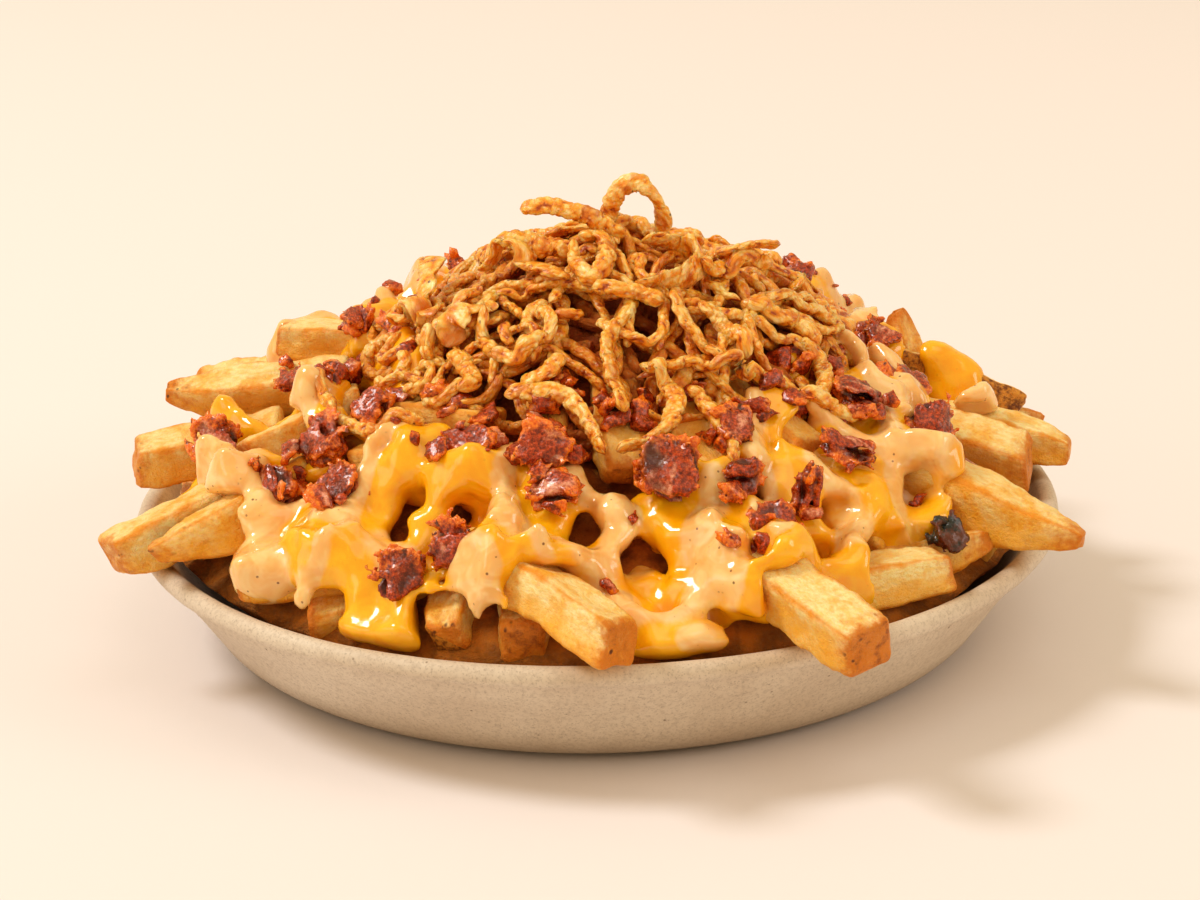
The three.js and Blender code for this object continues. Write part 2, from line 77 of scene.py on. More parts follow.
def random_source(seed):
    """Repeatable random numbers from 0 to 1, the same ones as the part's source draws."""
    state = seed

    def draw():
        nonlocal state
        state = (state * 1664525 + 1013904223) % 2**32
        return state / 2**32

    return draw


def heap_height(radius):
    return HEAP_EDGE_HEIGHT + HEAP_RISE * (1 - (radius / HEAP_RADIUS) ** 2)


def pile_height(share):
    return PILE_BASE_HEIGHT + PILE_RISE * (1 - 0.72 * share**2 - 0.1 * share**10)


def pile_share(x, y):
    return np.hypot((x - PILE_CENTRE_X) / PILE_HALF_LENGTH, y / PILE_HALF_WIDTH)


def top_height(x, y):
    share = np.minimum(pile_share(x, y), 1.3)
    return np.maximum(heap_height(np.hypot(x, y)), pile_height(share))


def polar(azimuth, radius, height=0.0):
    angle = math.radians(azimuth)
    return np.array([radius * math.cos(angle), radius * math.sin(angle), height])


def unit(vector):
    return vector / np.linalg.norm(vector)


def smooth_step(low, high, value):
    share = np.clip((value - low) / (high - low), 0, 1)
    return share * share * (3 - 2 * share)


def circle(count):
    """Angles round a full turn."""
    return 2 * np.pi * np.arange(count) / count


def rings_at(radius_x, radius_y, height, turn):
    """Oval rings of points, one for each row of the radii and heights."""
    return np.stack(np.broadcast_arrays(radius_x * np.cos(turn), radius_y * np.sin(turn), height), -1)


def cell_corners(share):
    """The steps to a cell's eight corners, each with its weight for a place within the cell."""
    for corner in np.ndindex(2, 2, 2):
        weight = 1
        for k in range(3):
            weight = weight * (share[..., k] if corner[k] else 1 - share[..., k])
        yield corner, weight


def cell_number(order, cell):
    """A number from 0 to 255 for each cell, always the same one."""
    x, y, z = np.moveaxis(cell & 255, -1, 0)
    return order[order[order[x] + y] + z]


def noise(points, size, seed):
    """Smooth noise between about -1 and 1, with lumps of this size."""
    rng = np.random.default_rng(seed)
    slopes = rng.normal(size=(256, 3))
    slopes /= np.linalg.norm(slopes, axis=1, keepdims=True)
    order = np.concatenate([rng.permutation(256)] * 2)
    scaled = points / size
    cell = np.floor(scaled).astype(int)
    within = scaled - cell
    total = 0
    for corner, weight in cell_corners(within**3 * (within * (within * 6 - 15) + 10)):
        slope = (slopes[cell_number(order, cell + corner)] * (within - corner)).sum(-1)
        total = total + weight * slope
    return total * 1.7


def blisters(points, size, seed):
    """Round blisters of about this size: 1 at the middle of one, below 0 in the creases between them."""
    rng = np.random.default_rng(seed)
    order = np.concatenate([rng.permutation(256)] * 2)
    middles = rng.random((256, 3))
    scaled = points / size
    cell = np.floor(scaled).astype(int)
    within = scaled - cell
    nearest = np.full(within.shape[:-1], 9.0)
    for step in np.ndindex(3, 3, 3):
        shift = np.array(step) - 1
        away = shift + middles[cell_number(order, cell + shift)] - within
        nearest = np.minimum(nearest, (away**2).sum(-1))
    return 1 - 2.2 * nearest


def smooth_min(a, b, reach):
    near = np.maximum(reach - np.abs(a - b), 0) / reach
    return np.minimum(a, b) - near * near * reach / 4


def smooth_max(a, b, reach):
    return -smooth_min(-a, -b, reach)


def curve_through(points, step):
    """Evenly spaced points of a smooth curve through these. Further columns, such as a width, go along."""
    points = np.asarray(points, float)
    chord = np.sqrt(np.linalg.norm(np.diff(points[:, :3], axis=0), axis=1))
    knots = np.concatenate([[0], np.cumsum(chord)])
    slopes = np.gradient(points, knots, axis=0)
    fine = np.linspace(0, knots[-1], 24 * (len(points) - 1) + 1)
    index = np.clip(np.searchsorted(knots, fine, side="right") - 1, 0, len(points) - 2)
    span = (knots[index + 1] - knots[index])[:, None]
    t = ((fine - knots[index])[:, None]) / span
    curve = (
        (2 * t**3 - 3 * t**2 + 1) * points[index]
        + (t**3 - 2 * t**2 + t) * span * slopes[index]
        + (3 * t**2 - 2 * t**3) * points[index + 1]
        + (t**3 - t**2) * span * slopes[index + 1]
    )
    length = np.concatenate([[0], np.cumsum(np.linalg.norm(np.diff(curve[:, :3], axis=0), axis=1))])
    count = max(int(round(length[-1] / step)), 3)
    even = np.linspace(0, length[-1], count + 1)
    return np.stack([np.interp(even, length, curve[:, k]) for k in range(curve.shape[1])], axis=1)


# Meshes

class Builder:
    """Collects vertices, faces and values at the vertices, and makes one mesh of them all."""

    def __init__(self):
        self.points = []
        self.faces = []
        self.values = {}
        self.count = 0

    def add(self, points, faces, **values):
        self.points.append(points)
        self.faces.extend(block + self.count for block in faces)
        for name, value in values.items():
            self.values.setdefault(name, []).append(value)
        self.count += len(points)

    def add_rings(self, points, tips=None, **values):
        """Adds rings of points that lie one after the other, closed to a middle point at both ends."""
        rings, sides = points.shape[:2]
        ring, side = np.meshgrid(np.arange(rings - 1), np.arange(sides), indexing="ij")
        a = ring * sides + side
        b = ring * sides + (side + 1) % sides
        body = np.stack([a, b, b + sides, a + sides], -1).reshape(-1, 4)
        middle = np.full(sides, rings * sides)
        first = np.stack([b[0], a[0], middle], -1)
        last = np.stack([a[-1] + sides, b[-1] + sides, middle + 1], -1)

        def closed(rows):
            ends = np.stack([rows[0].mean(0), rows[-1].mean(0)])
            return np.concatenate([rows.reshape(rings * sides, *rows.shape[2:]), ends])

        flat = closed(points)
        if tips is not None:
            flat[-2:] = tips
        for name, value in values.items():
            rows = np.broadcast_to(value, (rings, sides, *np.shape(value)[2:]))
            values[name] = closed(rows.astype(float))
        self.add(flat, [body, first, last], **values)

    def make(self, name, material, slot, *nodes):
        mesh = bpy.data.meshes.new(name)
        points = np.concatenate(self.points) * MM
        corners = np.concatenate([block.reshape(-1) for block in self.faces])
        sizes = np.concatenate([np.full(len(block), block.shape[1]) for block in self.faces])
        starts = np.concatenate([[0], np.cumsum(sizes)[:-1]])
        mesh.vertices.add(len(points))
        mesh.vertices.foreach_set("co", points.reshape(-1))
        mesh.loops.add(len(corners))
        mesh.loops.foreach_set("vertex_index", corners.astype(np.int32))
        mesh.polygons.add(len(sizes))
        mesh.polygons.foreach_set("loop_start", starts.astype(np.int32))
        mesh.polygons.foreach_set("use_smooth", np.ones(len(sizes), bool))
        mesh.update(calc_edges=True)
        for key, blocks in self.values.items():
            value = np.concatenate(blocks)
            kind, field = ("FLOAT_VECTOR", "vector") if value.ndim == 2 else ("FLOAT", "value")
            attribute = mesh.attributes.new(key, kind, "POINT")
            attribute.data.foreach_set(field, value.reshape(-1).astype(np.float32))
        mesh.materials.append(material)
        obj = bpy.data.objects.new(name, mesh)
        bpy.context.scene.collection.objects.link(obj)
        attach(obj, "root")
        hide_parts(*nodes)


# Shader helper

class Graph:
    """One material, with short ways to add its nodes. A value is a number, a colour or a node's socket."""

    def __init__(self, name, grained=False):
        self.material = bpy.data.materials.new(name)
        self.material.use_nodes = True
        self.tree = self.material.node_tree
        if grained:
            self.place = self.node("Attribute", "Vector", {}, attribute_name="grain")
        else:
            place = self.node("TexCoord", "Object", {})
            self.place = self.node("VectorMath", "Vector", {0: place, "Scale": 1 / MM}, operation="SCALE")

    def feed(self, socket, value):
        if isinstance(value, bpy.types.NodeSocket):
            self.tree.links.new(value, socket)
        elif socket.type == "RGBA":
            socket.default_value = (*value, 1)
        else:
            socket.default_value = value

    def node(self, kind, output, inputs, **settings):
        """Adds a node with these inputs and settings, and gives the socket of one output."""
        node = self.tree.nodes.new("ShaderNode" + kind)
        for name, value in settings.items():
            setattr(node, name, value)
        for name, value in inputs.items():
            self.feed(node.inputs[name], value)
        return node.outputs[output]

    def attributes(self, *names):
        return [self.node("Attribute", "Fac", {}, attribute_name=name) for name in names]

    def moved(self, operation, vector):
        """The place, stretched or shifted by a vector."""
        return self.node("VectorMath", "Vector", {0: self.place, 1: vector}, operation=operation)

    def math(self, operation, a, b, clamp=False):
        return self.node("Math", 0, {0: a, 1: b}, operation=operation, use_clamp=clamp)

    def add(self, a, b, clamp=False):
        return self.math("ADD", a, b, clamp)

    def times(self, a, b):
        return self.math("MULTIPLY", a, b)

    def swing(self, value, middle, size):
        """The value's distance from a middle, times a size."""
        return self.times(self.math("SUBTRACT", value, middle), size)

    def noise(self, size, detail=2.0, rough=0.5, swirl=0.0, place=None):
        inputs = {"Scale": 1 / size, "Detail": detail, "Roughness": rough, "Distortion": swirl}
        inputs["Vector"] = self.place if place is None else place
        return self.node("TexNoise", "Fac", inputs)

    def cells(self, size):
        return self.node("TexVoronoi", "Distance", {"Vector": self.place, "Scale": 1 / size})

    def between(self, value, low, high, to_low=0.0, to_high=1.0):
        inputs = {"Value": value, "From Min": low, "From Max": high, "To Min": to_low, "To Max": to_high}
        return self.node("MapRange", "Result", inputs, interpolation_type="SMOOTHSTEP")

    def flecks(self, size, edge, patch_size, patch):
        """Small round flecks, found in some patches only."""
        fleck = self.between(self.cells(size), *edge)
        return self.times(fleck, self.between(self.noise(patch_size, 1), *patch))

    def mix(self, share, a, b):
        return self.node("Mix", 2, {"Factor": share, 6: a, 7: b}, data_type="RGBA")

    def blend(self, value, low, high, a, b):
        """A colour that goes from a to b while the value goes from low to high."""
        return self.mix(self.between(value, low, high), a, b)

    def lay(self, share, colour):
        """Lays a colour over the base colour."""
        self.base = self.mix(share, self.base, colour)

    def paint(self, value, low, high, most, colour):
        """Lays a colour over the base colour, more of it while the value goes from low to high."""
        self.lay(self.between(value, low, high, 0, most), colour)

    def rise(self, low, high):
        """0 below one height and 1 above another, in millimetres."""
        return self.between(self.node("SeparateXYZ", "Z", {0: self.place}), low, high)

    def bump(self, height, distance, strength, under=None):
        inputs = {"Height": height, "Distance": distance * MM, "Strength": strength}
        if under is not None:
            inputs["Normal"] = under
        return self.node("Bump", "Normal", inputs)

    def finish(self, **values):
        """Sets the inputs of the main shader."""
        shader = self.tree.nodes["Principled BSDF"]
        self.feed(shader.inputs["Base Color"], self.base)
        for name, value in values.items():
            self.feed(shader.inputs[name.replace("_", " ")], value)
        return self.material


# Materials

def stoneware_material():
    g = Graph("stoneware")
    fine = g.noise(1.1, 3, 0.65)
    grain = g.noise(0.45)
    g.base = g.blend(g.noise(26, 3, 0.6), 0.3, 0.7, (0.64, 0.525, 0.405), (0.72, 0.615, 0.49))
    g.paint(fine, 0.42, 0.72, 0.4, (0.42, 0.335, 0.26))
    g.paint(grain, 0.56, 0.7, 0.45, (0.32, 0.25, 0.19))
    # Painted shade: the wall darker towards the foot, where it faces down and meets the floor.
    g.paint(g.rise(1, 13), 1, 0, 0.5, (0.36, 0.265, 0.175))
    g.lay(g.times(g.flecks(2.6, (0.17, 0.05), 3.2, (0.55, 0.68)), 0.75), (0.16, 0.095, 0.05))
    normal = g.bump(g.noise(3.0, 3, 0.6), 0.12, 0.5)
    normal = g.bump(grain, 0.05, 0.6, normal)
    return g.finish(Normal=normal, Roughness=g.between(fine, 0.3, 0.7, 0.5, 0.66), Specular_IOR_Level=0.4)


def fry_material():
    g = Graph("fried_potato", grained=True)
    corner, end, tone, skin, deep, under = g.attributes("corner", "end", "tone", "skin", "deep", "under")
    fibre = g.noise(1.1, 5, 0.7, place=g.moved("MULTIPLY", (0.5, 1, 1)))
    patch = g.noise(6.0, 3, 0.6)
    fine = g.noise(0.8, 4, 0.65)
    face = g.blend(fibre, 0.32, 0.68, (0.95, 0.66, 0.22), (1.0, 0.86, 0.47))
    gold = g.blend(fine, 0.3, 0.7, (0.86, 0.36, 0.02), (0.95, 0.56, 0.10))
    g.base = g.mix(g.add(g.between(patch, 0.42, 0.68, 0, 0.8), tone, True), face, gold)
    # Painted light: sides that face down, filler fries and the dome take a deeper gold, standing in for
    # light shining through the fry in shade.
    g.lay(g.times(under, g.between(fine, 0.25, 0.6, 0.45, 0.8)), (0.95, 0.46, 0.035))
    g.paint(g.add(corner, g.swing(patch, 0.5, 1.1)), 0.5, 1.15, 0.95, (0.82, 0.31, 0.015))
    tip = g.add(end, g.swing(g.noise(2.4, 4, 0.65), 0.5, 1.6))
    g.paint(tip, 0.05, 0.8, 0.94, (0.70, 0.22, 0.010))
    g.paint(tip, 0.85, 1.35, 0.8, (0.26, 0.055, 0.006))
    shown = g.between(g.add(end, g.times(corner, 0.3)), 0.15, 0.7)
    spot = g.times(g.flecks(2.2, (0.36, 0.14), 3.6, (0.54, 0.62)), shown)
    g.lay(g.times(spot, 0.92), (0.10, 0.022, 0.006))
    peel = g.blend(g.noise(1.6, 4, 0.7), 0.35, 0.62, (0.20, 0.06, 0.010), (0.72, 0.32, 0.045))
    g.paint(skin, 0.3, 0.7, 1, peel)
    # Painted shade: fries that sit deep in the heap, and the dome under them, darkened.
    g.lay(deep, g.blend(patch, 0.35, 0.65, (0.17, 0.036, 0.003), (0.46, 0.14, 0.016)))
    normal = g.bump(g.add(g.times(fibre, 0.55), g.times(fine, 0.45)), 1.0, 0.9)
    return g.finish(
        Normal=g.bump(g.noise(0.5), 0.25, 0.7, normal),
        Roughness=g.add(g.between(fine, 0.3, 0.7, 0.3, 0.5), g.between(deep, 0.2, 0.8, 0, 0.5)),
        Specular_IOR_Level=0.4,
        Subsurface_Weight=0.2,
        Subsurface_Radius=(0.003, 0.0013, 0.0003),
        Subsurface_Scale=1.0,
    )


def sauce_material():
    g = Graph("sauce")
    over, sunk = g.attributes("over", "sunk")
    border = g.add(over, g.swing(g.noise(4.5, 3, 0.55, 0.6), 0.5, 1.5))
    tan_share = g.between(border, -0.6, 0.6)
    streak = g.noise(7, swirl=1.2)
    cheese = g.blend(streak, 0.3, 0.7, (0.95, 0.42, 0.004), (0.98, 0.52, 0.013))
    tan = g.blend(streak, 0.35, 0.7, (0.89, 0.49, 0.16), (0.95, 0.66, 0.30))
    g.base = g.mix(tan_share, cheese, tan)
    pepper = g.flecks(2.1, (0.2, 0.08), 2.7, (0.52, 0.62))
    g.lay(g.times(pepper, g.between(tan_share, 0.3, 0.9, 0.1, 0.85)), (0.16, 0.055, 0.015))
    # Painted shade: the sauce darker the lower it lies below the surface over the heap, in hollows and
    # folds.
    g.paint(sunk, 0.2, 0.75, 0.7, (0.68, 0.20, 0.006))
    g.paint(sunk, 0.6, 1.0, 0.8, (0.32, 0.065, 0.004))
    return g.finish(
        Normal=g.bump(g.noise(5), 0.5, 0.35),
        Roughness=0.16,
        Specular_IOR_Level=0.5,
        Subsurface_Weight=0.2,
        Subsurface_Radius=(0.003, 0.0014, 0.0003),
        Subsurface_Scale=1.0,
        Coat_Weight=0.6,
        Coat_Roughness=0.04,
    )


def onion_material():
    g = Graph("fried_onion", grained=True)
    crest, tone, deep = g.attributes("crest", "tone", "deep")
    fine = g.noise(0.7, 4, 0.7)
    # Painted light and shade: crests of the crust painted paler as painted highlights and creases darker as
    # painted shade, with random noise; tone adds random variation and painted shade on the lower layers.
    light = g.add(g.add(g.times(crest, 0.75), g.swing(g.noise(4.0, 3, 0.6), 0.25, 0.9)), tone)
    g.base = g.blend(light, -0.45, 0.05, (0.46, 0.08, 0.003), (0.90, 0.31, 0.013))
    g.paint(light, 0.0, 0.45, 1, (0.99, 0.47, 0.048))
    g.paint(light, 0.35, 0.85, 1, (1.0, 0.69, 0.26))
    # Painted highlights at the crumbs' middles and painted shade at their edges.
    crumb = g.cells(1.25)
    g.paint(crumb, 0.42, 0.1, 0.6, (1.0, 0.78, 0.42))
    g.paint(crumb, 0.6, 0.9, 0.4, (0.70, 0.20, 0.010))
    g.paint(fine, 0.42, 0.28, 0.5, (0.64, 0.17, 0.008))
    g.paint(g.noise(5.5, place=g.moved("ADD", (40, 7, 3))), 0.56, 0.68, 0.65, (0.62, 0.15, 0.010))
    g.lay(g.times(g.flecks(2.1, (0.22, 0.08), 3.0, (0.57, 0.65)), 0.85), (0.08, 0.02, 0.005))
    # Painted shade on the lower layers of strings and the core of the pile.
    g.lay(deep, (0.32, 0.07, 0.004))
    normal = g.bump(crumb, -0.7, 0.8)
    return g.finish(
        Normal=g.bump(g.noise(0.8, 3, 0.6), 0.5, 0.8, normal),
        Roughness=g.add(g.between(fine, 0.3, 0.7, 0.22, 0.42), g.between(deep, 0.2, 0.8, 0, 0.5)),
        Specular_IOR_Level=0.55,
        Subsurface_Weight=0.25,
        Subsurface_Radius=(0.003, 0.0011, 0.0002),
        Subsurface_Scale=1.0,
        Coat_Weight=g.between(deep, 0, 0.3, 0.35, 0),
        Coat_Roughness=0.2,
    )


def bacon_material():
    g = Graph("crisp_bacon", grained=True)
    crest, tone, edge, burnt = g.attributes("crest", "tone", "edge", "burnt")
    band = g.noise(4.6, 2, 0.5, 0.5, g.moved("MULTIPLY", (0.5, 1, 1.4)))
    fine = g.noise(0.8, 4, 0.7)
    patch = g.noise(3.2, 3, 0.6)
    g.base = g.blend(fine, 0.34, 0.66, (0.15, 0.013, 0.001), (0.60, 0.080, 0.006))
    fat = g.blend(fine, 0.36, 0.66, (0.58, 0.14, 0.05), (0.88, 0.48, 0.32))
    g.paint(g.add(band, tone), 0.55, 0.66, 0.85, fat)
    # Thin edges: orange-red, partly the bacon's own colour and partly a painted glow of light shining
    # through.
    thin_colour_and_glow = g.blend(fine, 0.34, 0.66, (0.70, 0.11, 0.005), (0.94, 0.30, 0.022))
    g.paint(g.add(g.times(edge, 0.55), patch), 0.68, 1.05, 1, thin_colour_and_glow)
    # Painted shade: darker where the surface sinks into creases and seams below the flake's hull.
    g.paint(crest, 0.1, -1.6, 0.9, (0.06, 0.005, 0.001))
    char = g.times(g.between(g.noise(2.8, 3, 0.6), 0.58, 0.68), g.between(edge, 0.1, 0.7))
    g.lay(g.times(char, 0.85), (0.035, 0.009, 0.004))
    g.lay(burnt, g.blend(patch, 0.4, 0.6, (0.14, 0.032, 0.010), (0.022, 0.024, 0.018)))
    normal = g.bump(g.noise(1.7, 4, 0.6), 0.7, 0.8)
    return g.finish(
        Normal=g.bump(g.cells(1.0), -0.25, 0.6, normal),
        Roughness=g.between(fine, 0.3, 0.7, 0.12, 0.3),
        Specular_IOR_Level=0.45,
        Subsurface_Weight=0.3,
        Subsurface_Radius=(0.003, 0.0005, 0.0001),
        Subsurface_Scale=1.0,
        Coat_Weight=0.5,
        Coat_Roughness=0.08,
    )


def floor_material():
    g = Graph("floor")
    g.base = (0.82, 0.772, 0.775)
    return g.finish(Roughness=0.9, Specular_IOR_Level=0.1)


# Bowl

BOWL_SIDES = 288
WELL_POINTS = 14
FLOOR_POINTS = 5


def bend(a, b, c, count):
    """Points on a curve from a to c that heads for b."""
    t = np.linspace(0, 1, count)[:, None]
    return (1 - t) ** 2 * np.array(a) + 2 * t * (1 - t) * np.array(b) + t * t * np.array(c)


def straight(a, b, count):
    """Points on the line between a and b, without its ends."""
    t = np.linspace(0, 1, count + 2)[1:-1, None]
    return (1 - t) * np.array(a) + t * np.array(b)


def bowl_profile():
    """Radius and height of points from the underside's middle, over the lip, to the inside's middle."""
    lip_centre = np.array([RIM_RADIUS - LIP_RADIUS, BOWL_HEIGHT - LIP_RADIUS])
    foot = bend((FOOT_RADIUS - 5, 0), (FOOT_RADIUS + 2, 0.2), (FOOT_RADIUS + 6.5, 5.5), 12)
    under_lip = lip_centre + (-0.8, -LIP_RADIUS)
    angles = np.radians(np.linspace(-40, 150, 16))
    lip = lip_centre + LIP_RADIUS * np.stack([np.cos(angles), np.sin(angles)], -1)
    well_end = (WELL_RADIUS, FLOOR_THICKNESS)
    well = bend(lip_centre + (-3.4, -1), (WELL_RADIUS + 8, FLOOR_THICKNESS + 1), well_end, WELL_POINTS)
    return np.concatenate([
        straight((20, 0), foot[0], 6),
        foot,
        straight(foot[-1], under_lip, 12),
        under_lip[None],
        lip,
        well,
        straight(well[-1], (12, FLOOR_THICKNESS), FLOOR_POINTS),
    ])


def make_bowl(material):
    """The bowl: turned, but a little out of round, with a swell and a crease under its lip band."""
    profile = bowl_profile()
    turn = circle(BOWL_SIDES)
    height = profile[:, 1:]
    lifted = smooth_step(2, 30, height)
    sway = 0.25 * np.sin(2 * turn + 0.6) + 0.18 * np.sin(3 * turn + 2)
    crease = 0.5 * np.exp(-(((height - 24.4) / 0.8) ** 2))
    swell = 0.35 * np.exp(-(((height - 20.5) / 2.6) ** 2))
    outside = np.arange(len(profile))[:, None] < len(profile) - WELL_POINTS - FLOOR_POINTS
    radius = profile[:, :1] + lifted * sway * 0.6 + (swell - crease) * outside
    points = rings_at(radius, radius, height + lifted * 0.15 * np.sin(4 * turn + 1), turn)
    rough = noise(points, 9, 3) * 0.12 + noise(points, 3, 4) * 0.05
    points = points + rings_at(1, 1, 0, turn) * (rough * lifted)[..., None]
    bowl = Builder()
    bowl.add_rings(points, [(0, 0, 0), (0, 0, FLOOR_THICKNESS)])
    bowl.make("stoneware_bowl", material, "stoneware", "bowl")


# Hollows that the photograph shows in the sauce: azimuth and radius of each, its half width and half height

HOLLOWS = [
    (-83, 90, 5.2, 6.4),
    (-76, 100, 2.9, 4.0),
    (-122, 86, 3.6, 2.4),
    (-93, 81, 4.0, 3.3),
    (-58, 89, 3.8, 4.0),
    (-60, 98, 3.2, 2.2),
    (-102, 98, 1.9, 4.4),
    (-111, 81, 4.2, 4.2),
    (-107, 102, 5.0, 3.0),
    (-98, 79, 2.8, 3.4),
    (-72, 104, 3.6, 1.6),
    (-68, 80, 2.0, 3.5),
    (-133, 100, 2.8, 2.4),
    (-40, 94, 2.2, 2.2),
    (-122, 78, 2.4, 2.4),
    (-20, 90, 2.6, 2.6),
    (-146, 84, 2.6, 2.4),
    (-50, 85, 3.6, 3.0),
    (-34, 88, 3.0, 3.0),
    (-29, 97, 2.6, 2.2),
    (-63, 78, 3.0, 2.6),
    (-88, 103, 2.6, 1.8),
    (-46, 103, 4.0, 2.0),
    (-15, 82, 3.2, 2.6),
    (-8, 96, 2.4, 2.4),
    (-86, 73, 2.6, 2.2),
    (-40, 77, 2.8, 2.4),
    (35, 84, 4.0, 3.2),
    (58, 90, 3.6, 4.2),
    (80, 84, 4.6, 3.6),
    (104, 92, 3.4, 4.0),
    (122, 82, 4.2, 3.4),
    (-25, 80, 3.4, 3.6),
    (-12, 92, 3.0, 2.6),
    (-152, 78, 3.2, 2.6),
    (-166, 88, 3.4, 3.0),
    (-48, 68, 3.2, 3.0),
    (-70, 90, 2.6, 2.8),
    (143, 90, 3.4, 3.2),
]
HOLLOW_TILT = 34
HOLLOW_GROWTH = 1.25
HOLLOW_REACH = 15
LINING_REACH = 5


def hollow_depth(points, hollow, reach=HOLLOW_REACH, ragged=True):
    """Distance outside a hollow: a ragged oval shaft that runs inward and down into the heap."""
    azimuth, radius, half_width, half_height = hollow
    mouth = polar(azimuth, radius, heap_height(min(radius, HEAP_RADIUS)) + 2)
    outward = polar(azimuth, math.cos(math.radians(HOLLOW_TILT)), math.sin(math.radians(HOLLOW_TILT)))
    across = polar(azimuth + 90, 1)
    upward = np.cross(outward, across)
    offset = points - mouth
    ratio = np.hypot(offset @ across / half_width, offset @ upward / half_height) / HOLLOW_GROWTH
    if ragged:
        ratio = ratio + 0.42 * noise(points, 5.0, 61) + 0.16 * noise(points, 2.6, 62)
    shaft = (ratio - 1) * min(half_width, half_height)
    return np.maximum(shaft, -offset @ outward - reach)


# Fries: tip, inner end, width and taper, as in the part's source, and whether a side keeps its skin

PLACED_FRIES = [
    ((-78, 28, 61), (-44, 20, 61), 10.5, 0.8, 0),
    ((-103, 10, 51), (-60, 5, 57), 11.5, 0.35, 0),
    ((-109, -8, 42), (-74, -6, 48), 11, 0.95, 0),
    ((-109, -48, 33), (-72, -30, 46), 12.5, 0.8, 0),
    ((-97, -59, 35), (-66, -40, 48), 12.5, 0.35, 1),
    ((-79, -68, 36), (-46, -72, 39), 11.5, 1, 0),
    ((-62, -77, 28), (-30, -70, 33), 11, 0.9, 0),
    ((4.5, -114, 37.5), (-28, -76, 44), 12, 0.95, 0),
    ((-16, -98, 31), (-12, -60, 38), 12.5, 0.8, 0),
    ((-32, -95, 31.5), (-24, -58, 40), 10.5, 0.8, 1),
    ((55, -116, 36.5), (28, -76, 43), 12.5, 0.95, 0),
    ((76, -67, 34), (40, -80, 33), 12, 0.9, 0),
    ((88, -54, 34), (62, -60, 33), 9, 0.4, 0),
    ((106, -60, 34), (60, -29, 49), 13.5, 0.3, 0),
    ((96, -9, 28), (66, -4, 33), 11.5, 0.8, 0),
    ((103, -8, 37), (66, 6, 47), 12.5, 0.9, 0),
    ((114, 3, 36), (78, 12, 42), 11, 0.6, 0),
    ((104, 22, 40), (62, 26, 54), 12.5, 0.9, 1),
    ((111, 26, 36), (84, 22, 39), 8, 0.5, 0),
    ((74, 31, 64), (78, 27, 44), 10.5, 0.45, 0),
    ((-79, -30, 50), (-54, -18, 58), 11, 0.85, 0),
]
BACK_FRIES = 13
BACK_START = 32
BACK_END = 158
FRY_STEP = 1.2
FILLER_STEP = 1.8
FRY_CORNER = 0.36
SHORT_TRIES = 6000
HIDDEN_STEP = 5.0
NEVER_BARE = 2.0

# Layers of fries under the sauce: tries, height over the heap's top (0: set by the rim), how far it varies
FILLER_LAYERS = [(1200, 0.0, 1.0), (2600, -6.0, 1.6), (900, -12.0, 2.0), (900, -18.0, 3.0)]


class Fry:
    """Where one fry lies, and its frame: along it, across it and outward from it."""

    def __init__(self, tip, inner, width, taper, skin=0, roll=0.0, bare_from=NEVER_BARE, filler=False):
        self.start = np.array(inner, float)
        self.end = np.array(tip, float)
        self.width = width
        self.taper = taper
        self.skin = skin
        self.bare_from = bare_from
        self.filler = filler
        self.hidden = False
        self.length = np.linalg.norm(self.end - self.start)
        self.tip_reach = width * (0.8 + 1.5 * max(0.8 - taper, 0))
        self.slant = 0.8 if taper < 0.45 else 0.2
        self.along = (self.end - self.start) / self.length
        flat = unit(np.array([self.along[1], -self.along[0], 0.0]))
        self.across = flat * math.cos(roll) + np.cross(self.along, flat) * math.sin(roll)
        self.outward = np.cross(self.across, self.along)

    def size_at(self, distance):
        """Share of the full width at this distance from the inner end."""
        into_tip = np.clip((distance - (self.length - self.tip_reach)) / self.tip_reach, 0, 1)
        return 1 + (self.taper - 1) * into_tip**1.5

    def shift_at(self, distance):
        """A fry cut to a point keeps its upper side straight, so its middle rises towards the tip."""
        return self.slant * (1 - self.size_at(distance)) * self.width / 2

    def depth(self, points, corner=1.6):
        """Distance outside this fry, below 0 inside it."""
        offset = points - self.start
        u = offset @ self.along
        size = self.size_at(u)
        v = (offset @ self.across) / size
        w = (offset @ self.outward - self.shift_at(u)) / size
        half = self.width / 2
        a = np.abs(u - self.length / 2) - self.length / 2 + corner
        b = np.abs(v) - half + corner
        c = np.abs(w) - half + corner
        outside = np.sqrt(np.maximum(a, 0) ** 2 + np.maximum(b, 0) ** 2 + np.maximum(c, 0) ** 2)
        return outside + np.minimum(np.maximum(np.maximum(a, b), c), 0) - corner

    def under_sauce(self, points):
        """Distance outside the part that sauce may lie on, with rounder edges than the fry has."""
        beyond = (points - self.start) @ self.along - self.bare_from * self.length
        return np.maximum(self.depth(points, FRY_UNDER_SAUCE), beyond)

    def bare_part(self, points):
        """Distance outside the room that sauce leaves round the fry's bare end."""
        short_of = self.bare_from * self.length - (points - self.start) @ self.along
        clear = 3.0 * smooth_step(0, -8, short_of)
        return np.maximum(self.depth(points) - clear, short_of)

    def box(self, margin):
        low = np.minimum(self.start, self.end) - self.width * 0.72 - margin
        high = np.maximum(self.start, self.end) + self.width * 0.72 + margin
        return low, high


